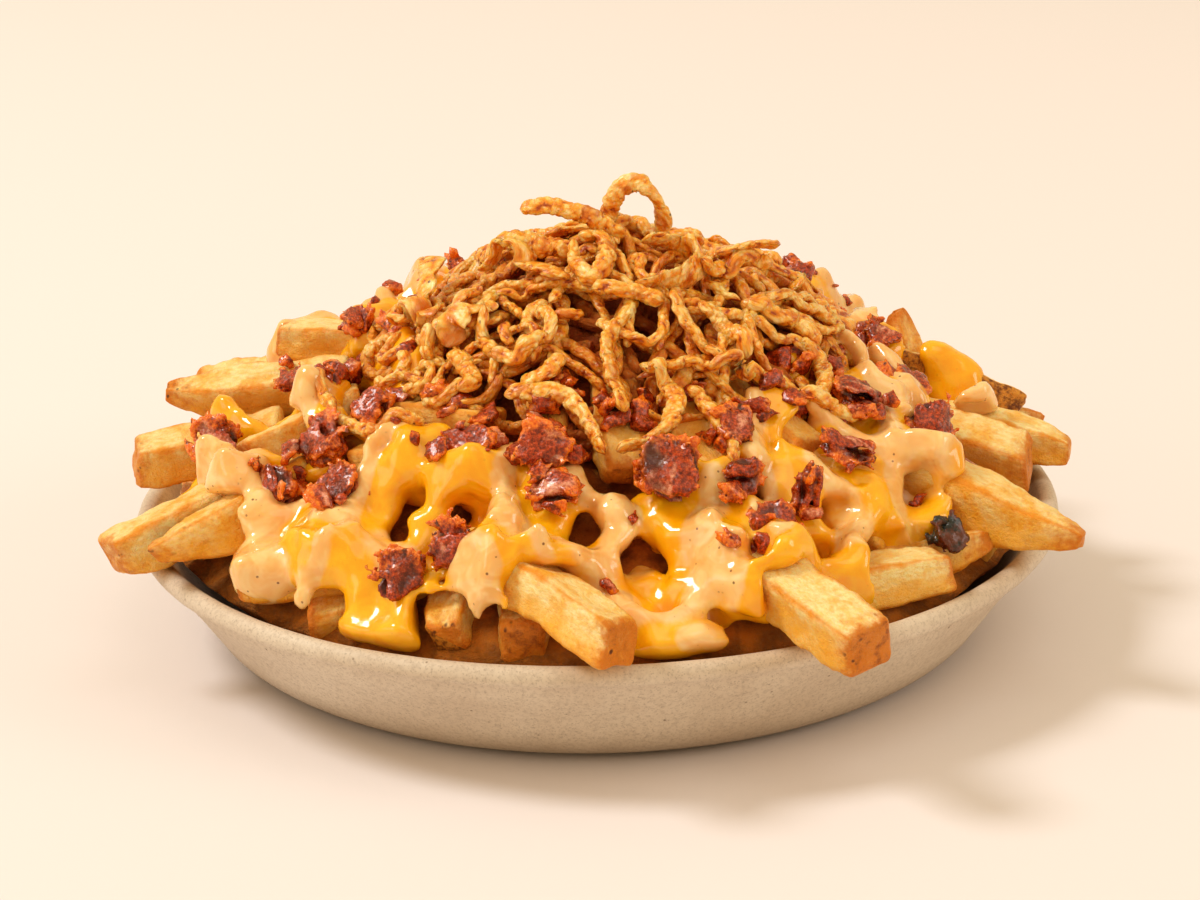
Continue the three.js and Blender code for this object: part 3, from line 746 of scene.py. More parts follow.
def back_fries():
    draw = random_source(11)
    fries = []
    for i in range(BACK_FRIES):
        azimuth = BACK_START + (BACK_END - BACK_START) * (i + 0.7 * draw()) / BACK_FRIES
        on_rim = i % 2 == 0
        reach = 106 + 13 * draw() if on_rim else 82 + 12 * draw()
        height = 37 + 3 * draw() if on_rim else heap_height(reach) + 3 + 4 * draw()
        heading = azimuth + (draw() - 0.5) * 70
        length = 36 + 12 * draw()
        tip = polar(azimuth, reach, height)
        inner = tip - polar(heading, length)
        inner[2] = heap_height(math.hypot(inner[0], inner[1])) - 6
        width = 10 + 3 * draw()
        taper = 0.4 + 0.6 * draw()
        fries.append((tip, inner, width, taper, 1 if i % 5 == 3 else 0))
    return fries


def middle_line(start, end):
    return np.linspace(start, end, 9)


def through_wall(line, width):
    """Whether a fry with this middle line would come through the bowl's wall."""
    low = line[:, 2] - width / 2
    inner_radius = np.where(low < BOWL_HEIGHT, 83 + 0.76 * low, 110)
    return (np.hypot(line[:, 0], line[:, 1]) + 0.42 * width > inner_radius).any()


def in_a_hollow(line, width, reach=4):
    return any((hollow_depth(line, hollow, reach, ragged=False) < 0.1 * width).any() for hollow in HOLLOWS)


def ends_of(azimuth, radius, length, heading):
    """Both ends of a fry with its middle at this place in plan, and how far out each of them is."""
    half = 0.5 * length * np.array([math.cos(heading), math.sin(heading), 0])
    ends = polar(azimuth, radius) + np.array([-half, half])
    return ends, np.hypot(ends[:, 0], ends[:, 1])


class Crowd:
    """The fries laid so far, as middle lines and widths, which new ones keep clear of."""

    def __init__(self, fries):
        self.lines = [middle_line(fry.start, fry.end) for fry in fries]
        self.widths = [fry.width for fry in fries]

    def has_room(self, line, width, closeness):
        """Whether a fry comes no nearer to another than this share of both widths, nor through the wall."""
        gap = np.linalg.norm(np.array(self.lines)[:, :, None] - line, axis=-1).min(axis=(1, 2))
        crossed = (gap < closeness * (np.array(self.widths) + width)).any()
        return not crossed and not through_wall(line, width)

    def add(self, line, width):
        self.lines.append(line)
        self.widths.append(width)


def filler_fries(taken, rng):
    """Fries that lie under the sauce, dropped at random wherever they cross none that is there already."""
    crowd = Crowd(taken)
    made = []
    for tries, sink, spread in FILLER_LAYERS:
        by_rim = sink == 0
        for _ in range(tries):
            radius = rng.uniform(85, 95) if by_rim else math.sqrt(rng.uniform(34**2, 93**2))
            azimuth = rng.uniform(0, 360)
            length = rng.uniform(15, 36) if by_rim else rng.uniform(26, 54)
            width = rng.uniform(9, 12) if by_rim else rng.uniform(10, 12.5)
            around = math.radians(azimuth + 90)
            heading = around + rng.uniform(-1.2, 1.2) if by_rim else rng.uniform(0, 2 * np.pi)
            ends, reach = ends_of(azimuth, radius, length, heading)
            if reach.max() > 100:
                continue
            if by_rim:
                sink = -heap_height(radius) + rng.uniform(26, 33)
            ends[:, 2] = heap_height(reach) + sink + rng.uniform(-spread, spread, 2)
            ends[:, 2] += 0.6 * (heap_height(radius) + sink - (ends[0, 2] + ends[1, 2]) / 2)
            roll = rng.uniform(-0.3, 0.3)
            fry = Fry(ends[1], ends[0], width, rng.uniform(0.6, 1.0), roll=roll, filler=True)
            fry.hidden = sink < -10
            line = middle_line(*ends)
            if not crowd.has_room(line, width, 0.32 if by_rim else 0.45):
                continue
            if by_rim or not in_a_hollow(line, width):
                made.append(fry)
                crowd.add(line, width)
    return made


def short_fries(taken, rng):
    """Short fries that fill the room left between the others, out to the bowl's wall."""
    crowd = Crowd(taken)
    made = []
    for _ in range(SHORT_TRIES):
        azimuth = rng.uniform(0, 360)
        radius = rng.uniform(60, 98)
        length = rng.uniform(14, 30)
        width = rng.uniform(8.5, 11)
        heading = math.radians(azimuth + 90) + rng.uniform(-0.9, 0.9)
        ends, reach = ends_of(azimuth, radius, length, heading)
        ends[:, 2] = heap_height(np.minimum(reach, 100)) - rng.uniform(6, 9.5) + rng.uniform(-1, 1, 2)
        line = middle_line(*ends)
        if not crowd.has_room(line, width, 0.3) or in_a_hollow(line, 2.5 * width, HOLLOW_REACH):
            continue
        roll = rng.uniform(-0.6, 0.6)
        made.append(Fry(ends[1], ends[0], width, rng.uniform(0.6, 1.0), roll=roll, filler=True))
        crowd.add(line, width)
    return made


def fry_section(arc_points, flat_points):
    """Points round a square with round corners, how near each is to a corner, and which side it is on."""
    flat = 1 - FRY_CORNER
    angle = np.radians(np.linspace(0, 90, arc_points))
    run = np.linspace(flat, -flat, flat_points + 2)[1:-1]
    quarter_x = np.concatenate([flat + FRY_CORNER * np.cos(angle), run])
    quarter_y = np.concatenate([flat + FRY_CORNER * np.sin(angle), np.ones(flat_points)])
    x = np.concatenate([quarter_x, -quarter_y, -quarter_x, quarter_y])
    y = np.concatenate([quarter_y, quarter_x, -quarter_y, -quarter_x])
    near = np.minimum(np.abs(x), np.abs(y))
    corner = np.clip((near - 0.38) / (near.max() - 0.38), 0, 1) ** 1.3
    side = np.select([x >= np.abs(y), y > np.abs(x), -x >= np.abs(y)], [0, 1, 2], 3)
    dish = 1 - 0.05 * (1 - corner)
    return x * dish, y * dish, corner, side


def add_fry(builder, fry, rng):
    """A cut fry with rounded ends, a slight bend, rough faces, slanting cuts and a browned tip."""
    if fry.hidden:
        arc_points, flat_points, step = 3, 1, HIDDEN_STEP
    elif fry.filler:
        arc_points, flat_points, step = 4, 2, FILLER_STEP
    else:
        arc_points, flat_points, step = 5, 4, FRY_STEP
    x, y, corner, side = fry_section(arc_points, flat_points)
    rings = max(int(fry.length / step), 4)
    body = np.linspace(2.2, fry.length - 2.2, rings)
    rounding = np.array([0, 0, 0.12, 0.5, 1.2])
    rounded = np.array([0.42, 0.76, 0.87, 0.94, 0.985])
    distance = np.concatenate([rounding, body, fry.length - rounding[::-1]])[:, None]
    shrink = np.concatenate([rounded, np.ones(rings), rounded[::-1]])[:, None]
    size = fry.size_at(distance) * shrink * fry.width / 2
    arch = np.sin(np.pi * distance / fry.length)
    bow = fry.length * rng.uniform(-0.02, 0.02) * arch + fry.shift_at(distance)
    bow_side = fry.length * rng.uniform(-0.02, 0.02) * arch
    centre = fry.start + distance * fry.along + bow * fry.outward + bow_side * fry.across
    flat = rng.uniform(0.88, 1.0)
    points = (
        centre[:, None]
        + (size * x)[..., None] * fry.across
        + (size * y * flat)[..., None] * fry.outward
    )
    from_tip = fry.length - distance
    end = rng.uniform(0.6, 1.0) * np.exp(-from_tip / (2.0 if fry.taper > 0.5 else 5.0))
    grain = np.stack(np.broadcast_arrays(distance, size * x, size * y), -1) + rng.uniform(0, 200, 3)
    if not fry.hidden:
        lean = rng.uniform(-0.3, 0.3, 4)
        near_tip = smooth_step(6, 0, from_tip)
        near_start = smooth_step(6, 0, distance)
        cut = near_tip * (lean[0] * x + lean[1] * y) + near_start * (lean[2] * x + lean[3] * y)
        points = points + (cut * size)[..., None] * fry.along
        away = x[:, None] * fry.across + y[:, None] * fry.outward
        away = away / np.linalg.norm(away, axis=-1, keepdims=True)
        away = away + (1.0 * (from_tip < 0.01))[..., None] * fry.along
        rough = noise(grain, 12, 11) * 0.9 + noise(grain, 4.6, 12) * 0.5 + noise(grain, 1.8, 13) * 0.24
        points = points + away * rough[..., None]
    side_tone = rng.uniform(-0.12, 0.22, 4)[side]
    facing = (x * fry.across[2] + y * fry.outward[2]) / np.hypot(x, y)
    radius = np.hypot(points[..., 0], points[..., 1])
    sunk = heap_height(np.minimum(radius, HEAP_RADIUS)) - points[..., 2]
    builder.add_rings(
        points,
        corner=corner * (0.25 + 0.75 * (shrink > 0.8)),
        end=end,
        tone=rng.uniform(-0.2, 0.25) + side_tone,
        # under: sides facing down, and filler fries, painted a deeper gold as light through the fry
        under=np.maximum(smooth_step(0.6, -0.3, facing), 0.75 * fry.filler),
        skin=((side == 3) | (side == 0)) * fry.skin,
        # painted shade, darker the deeper the fry lies under the heap's top
        deep=(0.85 if fry.filler else 0.3) * smooth_step(5, 17, sunk),
        grain=grain,
    )


def heap_core(builder):
    """A dome under the fries, coloured with painted shade, so that a gap between them ends in painted shade.
    """
    shares = np.linspace(1, 0.02, 28)
    dome = 101.5 * shares
    top = heap_height(dome) - 9 - 7 * (1 - shares) + 3 * smooth_step(84, 97, dome)
    radius = np.concatenate([[20, 80, 88, 96], dome])[:, None]
    height = np.concatenate([[5.6, 6.5, 14, 22], top])[:, None]
    points = rings_at(radius, radius, height, circle(120))
    points[4:, :, 2] += 2.2 * noise(points[4:], 12, 5) + 1.0 * noise(points[4:], 5, 6)
    # Painted shade all over the dome, a little less towards the rim.
    deep = 0.97 - 0.12 * smooth_step(87, 97, np.hypot(points[..., 0], points[..., 1]))
    builder.add_rings(points, corner=0, end=0, tone=0, under=1, skin=0, deep=deep, grain=points)


# Sauce: the heap as a field of distances, and sauce strands laid over its envelope

VOXEL = 1.0
FIELD_LOW = np.array([-118.0, -121.0, 14.0])
FIELD_HIGH = np.array([118.0, 121.0, 96.0])
FIELD_SHAPE = tuple(np.ceil((FIELD_HIGH - FIELD_LOW) / VOXEL).astype(int) + 1)
FIELD_X = FIELD_LOW[0] + VOXEL * np.arange(FIELD_SHAPE[0])
FIELD_Y = FIELD_LOW[1] + VOXEL * np.arange(FIELD_SHAPE[1])
FIELD_Z = FIELD_LOW[2] + VOXEL * np.arange(FIELD_SHAPE[2])
FAR = 12.0
FRY_BLEND = 5.0
FRY_UNDER_SAUCE = 3.4
SAG = 0.12
BARE_FROM = 0.42
RELIEF_BAND = 4.0
SAUCE_SHARE = 0.56
SAUCE_RADIUS = 104.8
MOUTH_REACH = 24
LEAST_FACES = 400

# Each strand: half width of its ends and middle, then its places as azimuth and radius
CHEESE = [
    (5.4, [(-125, 64), (-126, 73), (-127, 80), (-129, 88), (-132, 93)]),
    (4.6, [(-136, 87), (-135, 93), (-128, 94)]),
    (6.4, [(-126, 96), (-119, 97), (-113, 97), (-109, 96)]),
    (5.0, [(-121, 97), (-121, 101), (-121, 104)]),
    (4.2, [(-121, 104), (-117, 104), (-113, 104)]),
    (3.2, [(-110, 97), (-112, 101), (-114, 104)]),
    (2.8, [(-114, 104), (-110, 104), (-106, 104)]),
    (3.0, [(-106, 62), (-108, 70), (-113, 74), (-117, 80), (-119, 88)]),
    (3.8, [(-108, 69), (-110, 73), (-113, 76)]),
    (4.4, [(-106, 76), (-105, 84), (-105, 89), (-104, 95)]),
    (4.8, [(-104, 86), (-101, 89), (-97, 92), (-94, 94)]),
    (3.0, [(-102, 94), (-98, 93), (-93, 94), (-90, 97)]),
    (4.6, [(-99, 62), (-101, 74), (-98, 80), (-94, 84)]),
    (3.2, [(-84, 79), (-81, 81), (-79, 85), (-78, 90)]),
    (3.2, [(-86, 80), (-86, 87), (-88, 92), (-88, 96)]),
    (3.8, [(-89, 97), (-85, 99), (-80, 100), (-75, 97)]),
    (3.2, [(-86, 104), (-82, 104), (-78, 104), (-73, 103)]),
    (4.8, [(-66, 91), (-68, 96), (-71, 101), (-72, 104)]),
    (5.2, [(-72, 90), (-67, 93), (-64, 96)]),
    (3.6, [(-64, 97), (-60, 95), (-56, 94), (-52, 97)]),
    (2.8, [(-65, 98), (-67, 101), (-71, 104)]),
    (4.8, [(-48, 60), (-49, 66), (-52, 70), (-54, 75)]),
    (6.0, [(-43, 80), (-42, 87), (-38, 91), (-34, 94)]),
    (3.2, [(-42, 90), (-45, 95), (-47, 99)]),
    (3.0, [(-38, 92), (-40, 97), (-43, 101)]),
    (3.8, [(-45, 83), (-49, 89), (-50, 94)]),
    (4.4, [(-56, 75), (-51, 79), (-46, 80)]),
    (5.2, [(22, 60), (20, 72), (17, 84), (14, 92)]),
    (4.0, [(-178, 56), (-171, 61), (-164, 66)]),
    (4.6, [(-150, 68), (-152, 77), (-153, 84), (-154, 90)]),
    (4.2, [(-75, 68), (-73, 76), (-72, 81), (-69, 86)]),
    (5.0, [(-22, 60), (-22, 74), (-27, 86)]),
    (3.6, [(160, 56), (161, 64), (164, 72)]),
]
SPICED = [
    (3.8, [(-160, 68), (-157, 78), (-154, 87), (-152, 92), (-150, 96)]),
    (2.8, [(-131, 66), (-132, 74), (-131, 81), (-129, 87), (-133, 90)]),
    (4.4, [(-122, 89), (-118, 91)]),
    (2.6, [(-155, 84), (-148, 89), (-142, 94)]),
    (2.5, [(-107, 64), (-106, 71), (-105, 77), (-104, 82), (-99, 87), (-95, 88), (-92, 92), (-91, 95)]),
    (3.4, [(-105, 79), (-103, 83)]),
    (4.0, [(-108, 94), (-106, 98), (-104, 101)]),
    (2.0, [(-104, 100), (-103, 103), (-103, 105)]),
    (3.4, [(-94, 67), (-92, 72), (-89, 74)]),
    (5.4, [(-88, 71), (-87, 77), (-86, 81)]),
    (4.2, [(-86, 82), (-88, 86), (-90, 89)]),
    (3.2, [(-90, 89), (-89, 93), (-87, 96)]),
    (4.6, [(-75, 83), (-76, 89), (-77, 95)]),
    (2.8, [(-70, 76), (-71, 80), (-74, 84)]),
    (3.2, [(-87, 99), (-82, 98), (-78, 97), (-75, 96)]),
    (2.6, [(-69, 92), (-71, 97), (-73, 101), (-77, 104)]),
    (2.4, [(-80, 104), (-77, 104), (-74, 102)]),
    (2.5, [(-53, 58), (-59, 68), (-61, 73), (-63, 80)]),
    (2.0, [(-6, 58), (-14, 65), (-22, 70), (-28, 75)]),
    (2.2, [(8, 66), (0, 73), (-7, 78), (-5, 86)]),
    (4.6, [(-6, 84), (-2, 89), (2, 95)]),
    (2.8, [(-40, 64), (-37, 73), (-34, 80), (-32, 85), (-29, 90)]),
    (3.2, [(-50, 75), (-49, 80)]),
    (4.5, [(-48, 81), (-50, 87), (-53, 92)]),
    (3.2, [(-170, 66), (-162, 69), (-157, 74)]),
    (3.0, [(26, 58), (23, 70), (22, 80)]),
]
COATED_FRY = 5
COAT_THICKNESS = 1.1

# Where along its length a fry gets bare, if not from BARE_FROM: by its number in the list of fries
BARE_FROM_OF = {COATED_FRY: NEVER_BARE, 8: 0.6, 9: 0.6, 17: 0.86, 19: 0.0}

# A sauce's strands: their half height, the height of their middle, their depth below it, the film on fries
CHEESE_FORM = (3.9, 0.9, 2.8, 1.3)
SPICED_FORM = (3.6, 3.2, 3.0, 1.3)


def back_strands(count, half_width, seed, spread):
    """The rule that carries the sauces round the back: the part's own strands, and more between them."""
    rng = np.random.default_rng(seed)
    strands = []
    for i in range(count):
        azimuth = 30 + (146 - 30) * (i + 0.7 * rng.random()) / count
        sway = rng.uniform(-spread, spread, 4)
        outer = rng.uniform(86, 103)
        places = [
            (azimuth + sway[0], 58),
            (azimuth + sway[1], 72),
            (azimuth + sway[2], (72 + outer) / 2),
            (azimuth + sway[3], outer),
        ]
        strands.append((half_width * rng.uniform(0.8, 1.2), places))
    return strands


def small_ropes(count, half_width, seed):
    """Short ropes of sauce over the front and the sides, between the strands that the photograph shows."""
    rng = np.random.default_rng(seed)
    ropes = []
    for _ in range(count):
        azimuth = rng.uniform(-168, -12)
        radius = rng.uniform(62, 90)
        lean = rng.uniform(-0.9, 0.9)
        bend = rng.uniform(-5, 5)
        places = []
        for step in range(4):
            aside = 6 * lean * step + bend * math.sin(step)
            places.append((azimuth + aside, min(radius + 6.5 * step, 103)))
        ropes.append((half_width * rng.uniform(0.75, 1.3), places))
    return ropes


def foot_ring():
    """Short strands of cheese round the onion pile's foot, where fries would show between the strings."""
    rng = np.random.default_rng(53)
    strands = []
    for azimuth in range(-30, 210, 15):
        places = [(azimuth + 9 * step + rng.uniform(-2, 2), rng.uniform(46, 54)) for step in range(3)]
        strands.append((rng.uniform(3.0, 4.5), places))
    return strands


def block_of(low, high):
    """Index ranges of the part of the field between two corners."""
    first = np.maximum(np.floor((low - FIELD_LOW) / VOXEL).astype(int), 0)
    last = np.minimum(np.ceil((high - FIELD_LOW) / VOXEL).astype(int) + 1, FIELD_SHAPE)
    return tuple(slice(a, b) for a, b in zip(first, last))


def points_of(block):
    x, y, z = np.meshgrid(FIELD_X[block[0]], FIELD_Y[block[1]], FIELD_Z[block[2]], indexing="ij")
    return np.stack([x, y, z], -1)


def heap_field(fries):
    """Distance outside the fries and the dome under them, all over the field."""
    x, y, z = np.meshgrid(FIELD_X, FIELD_Y, FIELD_Z, indexing="ij", sparse=True)
    radius = np.hypot(x, y)
    field = np.minimum((z - heap_height(np.minimum(radius, 99)) + 15) * 0.75, FAR)
    field = np.maximum(field, radius - 99).astype(np.float32)
    for fry in fries:
        block = block_of(*fry.box(5))
        depth = fry.under_sauce(points_of(block))
        field[block] = smooth_min(field[block], np.minimum(depth, FAR), FRY_BLEND)
    return field


def heights_of(field):
    """Height of the highest inside point in each column."""
    inside = field < 0
    top = FIELD_SHAPE[2] - 1 - np.argmax(inside[:, :, ::-1], axis=2)
    found = inside.any(axis=2)
    top = np.minimum(top, FIELD_SHAPE[2] - 2)
    i, j = np.indices(top.shape)
    low = field[i, j, top]
    high = field[i, j, top + 1]
    share = np.clip(low / (low - high - 1e-9), 0, 1)
    return np.where(found, FIELD_Z[top] + VOXEL * share, FIELD_LOW[2])


def parabola(heights, rise, sign):
    """The heights raised (sign 1) or lowered (sign -1) by a parabola that rolls over them."""
    reach = 22
    for axis in (0, 1):
        best = heights.copy()
        for step in range(1, reach + 1):
            drop = rise * (step * VOXEL) ** 2
            for way in (step, -step):
                moved = np.roll(heights, way, axis)
                best = np.maximum(best, moved - drop) if sign > 0 else np.minimum(best, moved + drop)
        heights = best
    return heights


def blurred(field, rounds):
    """A field or a map of heights, evened out a little in each of its directions."""
    for _ in range(rounds):
        for axis in range(field.ndim):
            field = 0.5 * field + 0.25 * (np.roll(field, 1, axis) + np.roll(field, -1, axis))
    return field


def envelope(heights):
    """A surface that rests on the tops of the fries and sags a little between them, as thick sauce does."""
    x, y = np.meshgrid(FIELD_X, FIELD_Y, indexing="ij")
    radius = np.hypot(x, y)
    outside = np.maximum(27 - 2.2 * np.maximum(radius - 106, 0), FIELD_LOW[2])
    floor = np.where(radius < 103, heap_height(radius) - 6.5 + 2.5 * smooth_step(84, 98, radius), outside)
    filled = np.maximum(heights, floor)
    closed = parabola(parabola(filled, SAG, 1), SAG, -1)
    return blurred(closed, 3)


def strand_line(places, half_width, rng):
    """Points along a strand in plan, each with its half width: uneven, and fuller at its lower end."""
    line = []
    for index, (azimuth, radius) in enumerate(places):
        share = index / (len(places) - 1)
        swell = rng.uniform(0.75, 1.2) * (0.8 + 0.4 * share**2)
        x, y, _ = polar(azimuth, radius)
        line.append((x, y, 0, half_width * swell))
    return curve_through(line, 1.0)


def merge(field, block, shape, reach, join=smooth_min):
    """Joins a shape to one block of a field, or cuts it out where join is smooth_max."""
    field[block] = join(field[block], shape.astype(np.float32), reach)


def lay_strand(field, film, base, line, form):
    """Adds a strand to a sauce's field: a flattened round that follows the surface, and a film on fries."""
    heap, surface, tilt = base
    half_height, rise, drop, film_thickness = form
    margin = 8
    low = np.array([*(line[:, :2].min(0) - line[:, 3].max() - margin), FIELD_LOW[2]])
    high = np.array([*(line[:, :2].max(0) + line[:, 3].max() + margin), FIELD_HIGH[2]])
    block = block_of(low, high)
    x, y = np.meshgrid(FIELD_X[block[0]], FIELD_Y[block[1]], indexing="ij")
    away = np.full(x.shape, np.inf)
    width = np.ones(x.shape)
    best = np.full(x.shape, np.inf)
    for px, py, _, half in line:
        distance = np.hypot(x - px, y - py)
        ratio = distance / half
        nearer = ratio < best
        best = np.where(nearer, ratio, best)
        away = np.where(nearer, distance, away)
        width = np.where(nearer, half, width)
    ground = surface[block[0], block[1]]
    z = FIELD_Z[block[2]]
    normal = (z[None, None] - ground[..., None]) * tilt[block[0], block[1]][..., None]
    up = normal - rise
    a = away[..., None]
    w = width[..., None]
    h = np.where(up > 0, half_height, drop)
    k0 = np.sqrt((a / w) ** 2 + (up / h) ** 2) + 1e-6
    k1 = np.sqrt((a / w**2) ** 2 + (up / h**2) ** 2) + 1e-6
    shape = np.minimum(k0 * (k0 - 1) / k1, FAR)
    merge(field, block, shape, 2.2)
    zone = np.maximum(a - w - 0.6, -normal - 11)
    coat = smooth_max(heap[block] - film_thickness, zone, 1.5)
    film[block] = np.minimum(film[block], coat)


def poured(strands, form, base, rng):
    """The field of one sauce: its strands, with the hollows cut out of them."""
    field = np.full(FIELD_SHAPE, FAR, np.float32)
    film = field.copy()
    for half_width, places in strands:
        lay_strand(field, film, base, strand_line(places, half_width, rng), form)
    for hollow in HOLLOWS:
        mouth = polar(hollow[0], hollow[1], heap_height(min(hollow[1], HEAP_RADIUS)))
        block = block_of(mouth - MOUTH_REACH, mouth + MOUTH_REACH)
        places = points_of(block)
        merge(field, block, -hollow_depth(places, hollow), 3.0, smooth_max)
        merge(film, block, -hollow_depth(places, hollow, LINING_REACH), 3.0, smooth_max)
    return smooth_min(field, film, 2.5)


def sampled(field, points):
    """Values of a field at points, in between its own."""
    spot = (points - FIELD_LOW) / VOXEL
    cell = np.clip(np.floor(spot).astype(int), 0, np.array(FIELD_SHAPE) - 2)
    total = 0
    for corner, weight in cell_corners(spot - cell):
        total = total + weight * field[tuple((cell + corner).T)]
    return total


def surface_of(field, spacing, low, far):
    """Points and quads of the surface where a field is 0, which is closed at the field's borders."""
    for axis in range(3):
        np.moveaxis(field, axis, 0)[[0, -1]] = far
    grid = openvdb.FloatGrid(far)
    grid.copyFromArray(np.ascontiguousarray(field, np.float32))
    points, quads = grid.convertToQuads(isovalue=0.0)
    return np.asarray(points, float) * spacing + low, np.asarray(quads, int)


def largest_parts(points, quads, least=None):
    """Drops loose scraps with fewer faces than this, or all but the largest part."""
    label = np.arange(len(points))
    while True:
        low = label[quads].min(axis=1)
        before = label.copy()
        for corner in range(4):
            np.minimum.at(label, quads[:, corner], low)
        label = label[label]
        if (label == before).all():
            break
    count = np.bincount(label[quads[:, 0]], minlength=len(points))
    keep = count[label[quads[:, 0]]] >= (least or count.max())
    quads = quads[keep]
    used = np.unique(quads)
    back = np.full(len(points), -1)
    back[used] = np.arange(len(used))
    return points[used], back[quads]


def smoothed(points, quads, rounds, share):
    """Evens out a mesh's vertices without shrinking it."""
    a = quads.reshape(-1)
    b = np.roll(quads, -1, axis=1).reshape(-1)
    count = np.bincount(a, minlength=len(points)) + np.bincount(b, minlength=len(points))
    for step in range(2 * rounds):
        factor = share if step % 2 == 0 else -share * 1.03
        total = np.zeros_like(points)
        for k in range(3):
            ahead = np.bincount(a, points[b, k], len(points))
            total[:, k] = ahead + np.bincount(b, points[a, k], len(points))
        points = points + factor * (total / count[:, None] - points)
    return points


def thinned(points, quads, share):
    """The same surface with fewer faces, fewest where it is nearly flat."""
    mesh = bpy.data.meshes.new("surface")
    mesh.from_pydata(points.tolist(), [], quads.tolist())
    obj = bpy.data.objects.new("surface", mesh)
    bpy.context.scene.collection.objects.link(obj)
    obj.modifiers.new("fewer faces", "DECIMATE").ratio = share
    shape = obj.evaluated_get(bpy.context.evaluated_depsgraph_get())
    fewer = shape.to_mesh()
    fewer.calc_loop_triangles()
    kept = np.zeros(3 * len(fewer.vertices))
    corners = np.zeros(3 * len(fewer.loop_triangles), np.int32)
    fewer.vertices.foreach_get("co", kept)
    fewer.loop_triangles.foreach_get("vertices", corners)
    shape.to_mesh_clear()
    bpy.data.objects.remove(obj)
    bpy.data.meshes.remove(mesh)
    return kept.reshape(-1, 3), corners.reshape(-1, 3).astype(int)


def bacon_nodes():
    """Names of the part's bacon solids."""
    return sorted(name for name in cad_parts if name.startswith("bacon_"))


def node_corners(name):
    """Corners of a solid of the part, in millimetres."""
    return np.array([vertex.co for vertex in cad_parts[name].data.vertices]) / MM


def lay_pads(field, surface):
    """Lays a pad of sauce under each bacon piece, which it rests on."""
    for name in bacon_nodes():
        corners = node_corners(name)
        middle = corners.mean(0)
        reach = np.abs(corners - middle).max(0)
        bottom = corners[:, 2].min()
        i, j = np.round((middle[:2] - FIELD_LOW[:2]) / VOXEL).astype(int)
        rest = min(surface[i, j], bottom)
        foot = np.array([middle[0], middle[1], 0.5 * (rest + bottom)])
        half = np.array([*(0.7 * reach[:2] + 0.6), 0.5 * (bottom - rest) + 2.2])
        block = block_of(foot - half - 5, foot + half + 5)
        offset = (points_of(block) - foot) / half
        merge(field, block, (np.linalg.norm(offset, axis=-1) - 1) * half.min(), 3.5)


def make_sauce(fries, material):
    """Pours both sauces as one mesh. Returns the height of what lies on top at a place in plan."""
    rng = np.random.default_rng(7)
    heap = heap_field(fries)
    heights = heights_of(heap)
    surface = envelope(heights)
    slope_x, slope_y = np.gradient(surface, VOXEL)
    tilt = blurred(1 / np.sqrt(1 + slope_x**2 + slope_y**2), 2)
    base = (heap, surface, tilt)
    strands = CHEESE + foot_ring() + small_ropes(22, 3.0, 51) + back_strands(11, 6.6, 31, 9)
    cheese = poured(strands, CHEESE_FORM, base, rng)
    strands = SPICED + small_ropes(10, 2.0, 52) + back_strands(13, 4.0, 32, 12)
    spiced = poured(strands, SPICED_FORM, base, rng)
    block = block_of(*fries[COATED_FRY].box(5))
    merge(spiced, block, fries[COATED_FRY].depth(points_of(block), 2.6) - COAT_THICKNESS, 2.0)
    lay_pads(cheese, surface)
    for fry in fries:
        if fry.bare_from < 1:
            block = block_of(*fry.box(5))
            bare = -fry.bare_part(points_of(block))
            merge(cheese, block, bare, 1.5, smooth_max)
            merge(spiced, block, bare, 1.5, smooth_max)
    both = blurred(np.clip(smooth_min(cheese, spiced, 1.5), -5, 5), 3)
    near = np.nonzero(np.abs(both) < RELIEF_BAND)
    places = FIELD_LOW + VOXEL * np.stack(near, -1)
    relief = 1.3 * noise(places, 9.5, 71) + 0.55 * noise(places, 4.4, 72)
    both[near] -= np.maximum(relief, -0.8).astype(np.float32)
    x, y, z = np.meshgrid(FIELD_X, FIELD_Y, FIELD_Z, indexing="ij", sparse=True)
    below = BOWL_HEIGHT + 1 - z
    past_rim = np.hypot(x, y) - SAUCE_RADIUS - np.maximum(-below, 0) + 0.9 * np.maximum(below, 0)
    both = smooth_max(both, past_rim, 4.5)
    points, quads = surface_of(both, VOXEL, FIELD_LOW, FAR)
    points, quads = largest_parts(points, quads, LEAST_FACES)
    points = smoothed(points, quads, 6, 0.5)
    points, quads = thinned(points, quads, SAUCE_SHARE)
    over = sampled(cheese, points) - sampled(spiced, points)
    spot = np.round((points[:, :2] - FIELD_LOW[:2]) / VOXEL).astype(int)
    i, j = np.clip(spot, 0, np.array(FIELD_SHAPE[:2]) - 1).T
    # sunk: depth below the surface over the heap, which gets painted shade in the material
    sunk = (surface[i, j] - points[:, 2]) * tilt[i, j]
    sauce = Builder()
    sauce.add(points, [quads], over=np.clip(over, -4, 4), sunk=np.clip(sunk / 12, 0, 1))
    sauce.make("sauces", material, "sauced_fries", "fries_heap")
    tops = np.maximum(heights, heights_of(both))

    def ground(x, y):
        i = int(round((x - FIELD_LOW[0]) / VOXEL))
        j = int(round((y - FIELD_LOW[1]) / VOXEL))
        return float(tops[i, j])

    return ground


# Onion strings that the front shows, as places in plan, some with a height above the pile, as in the part

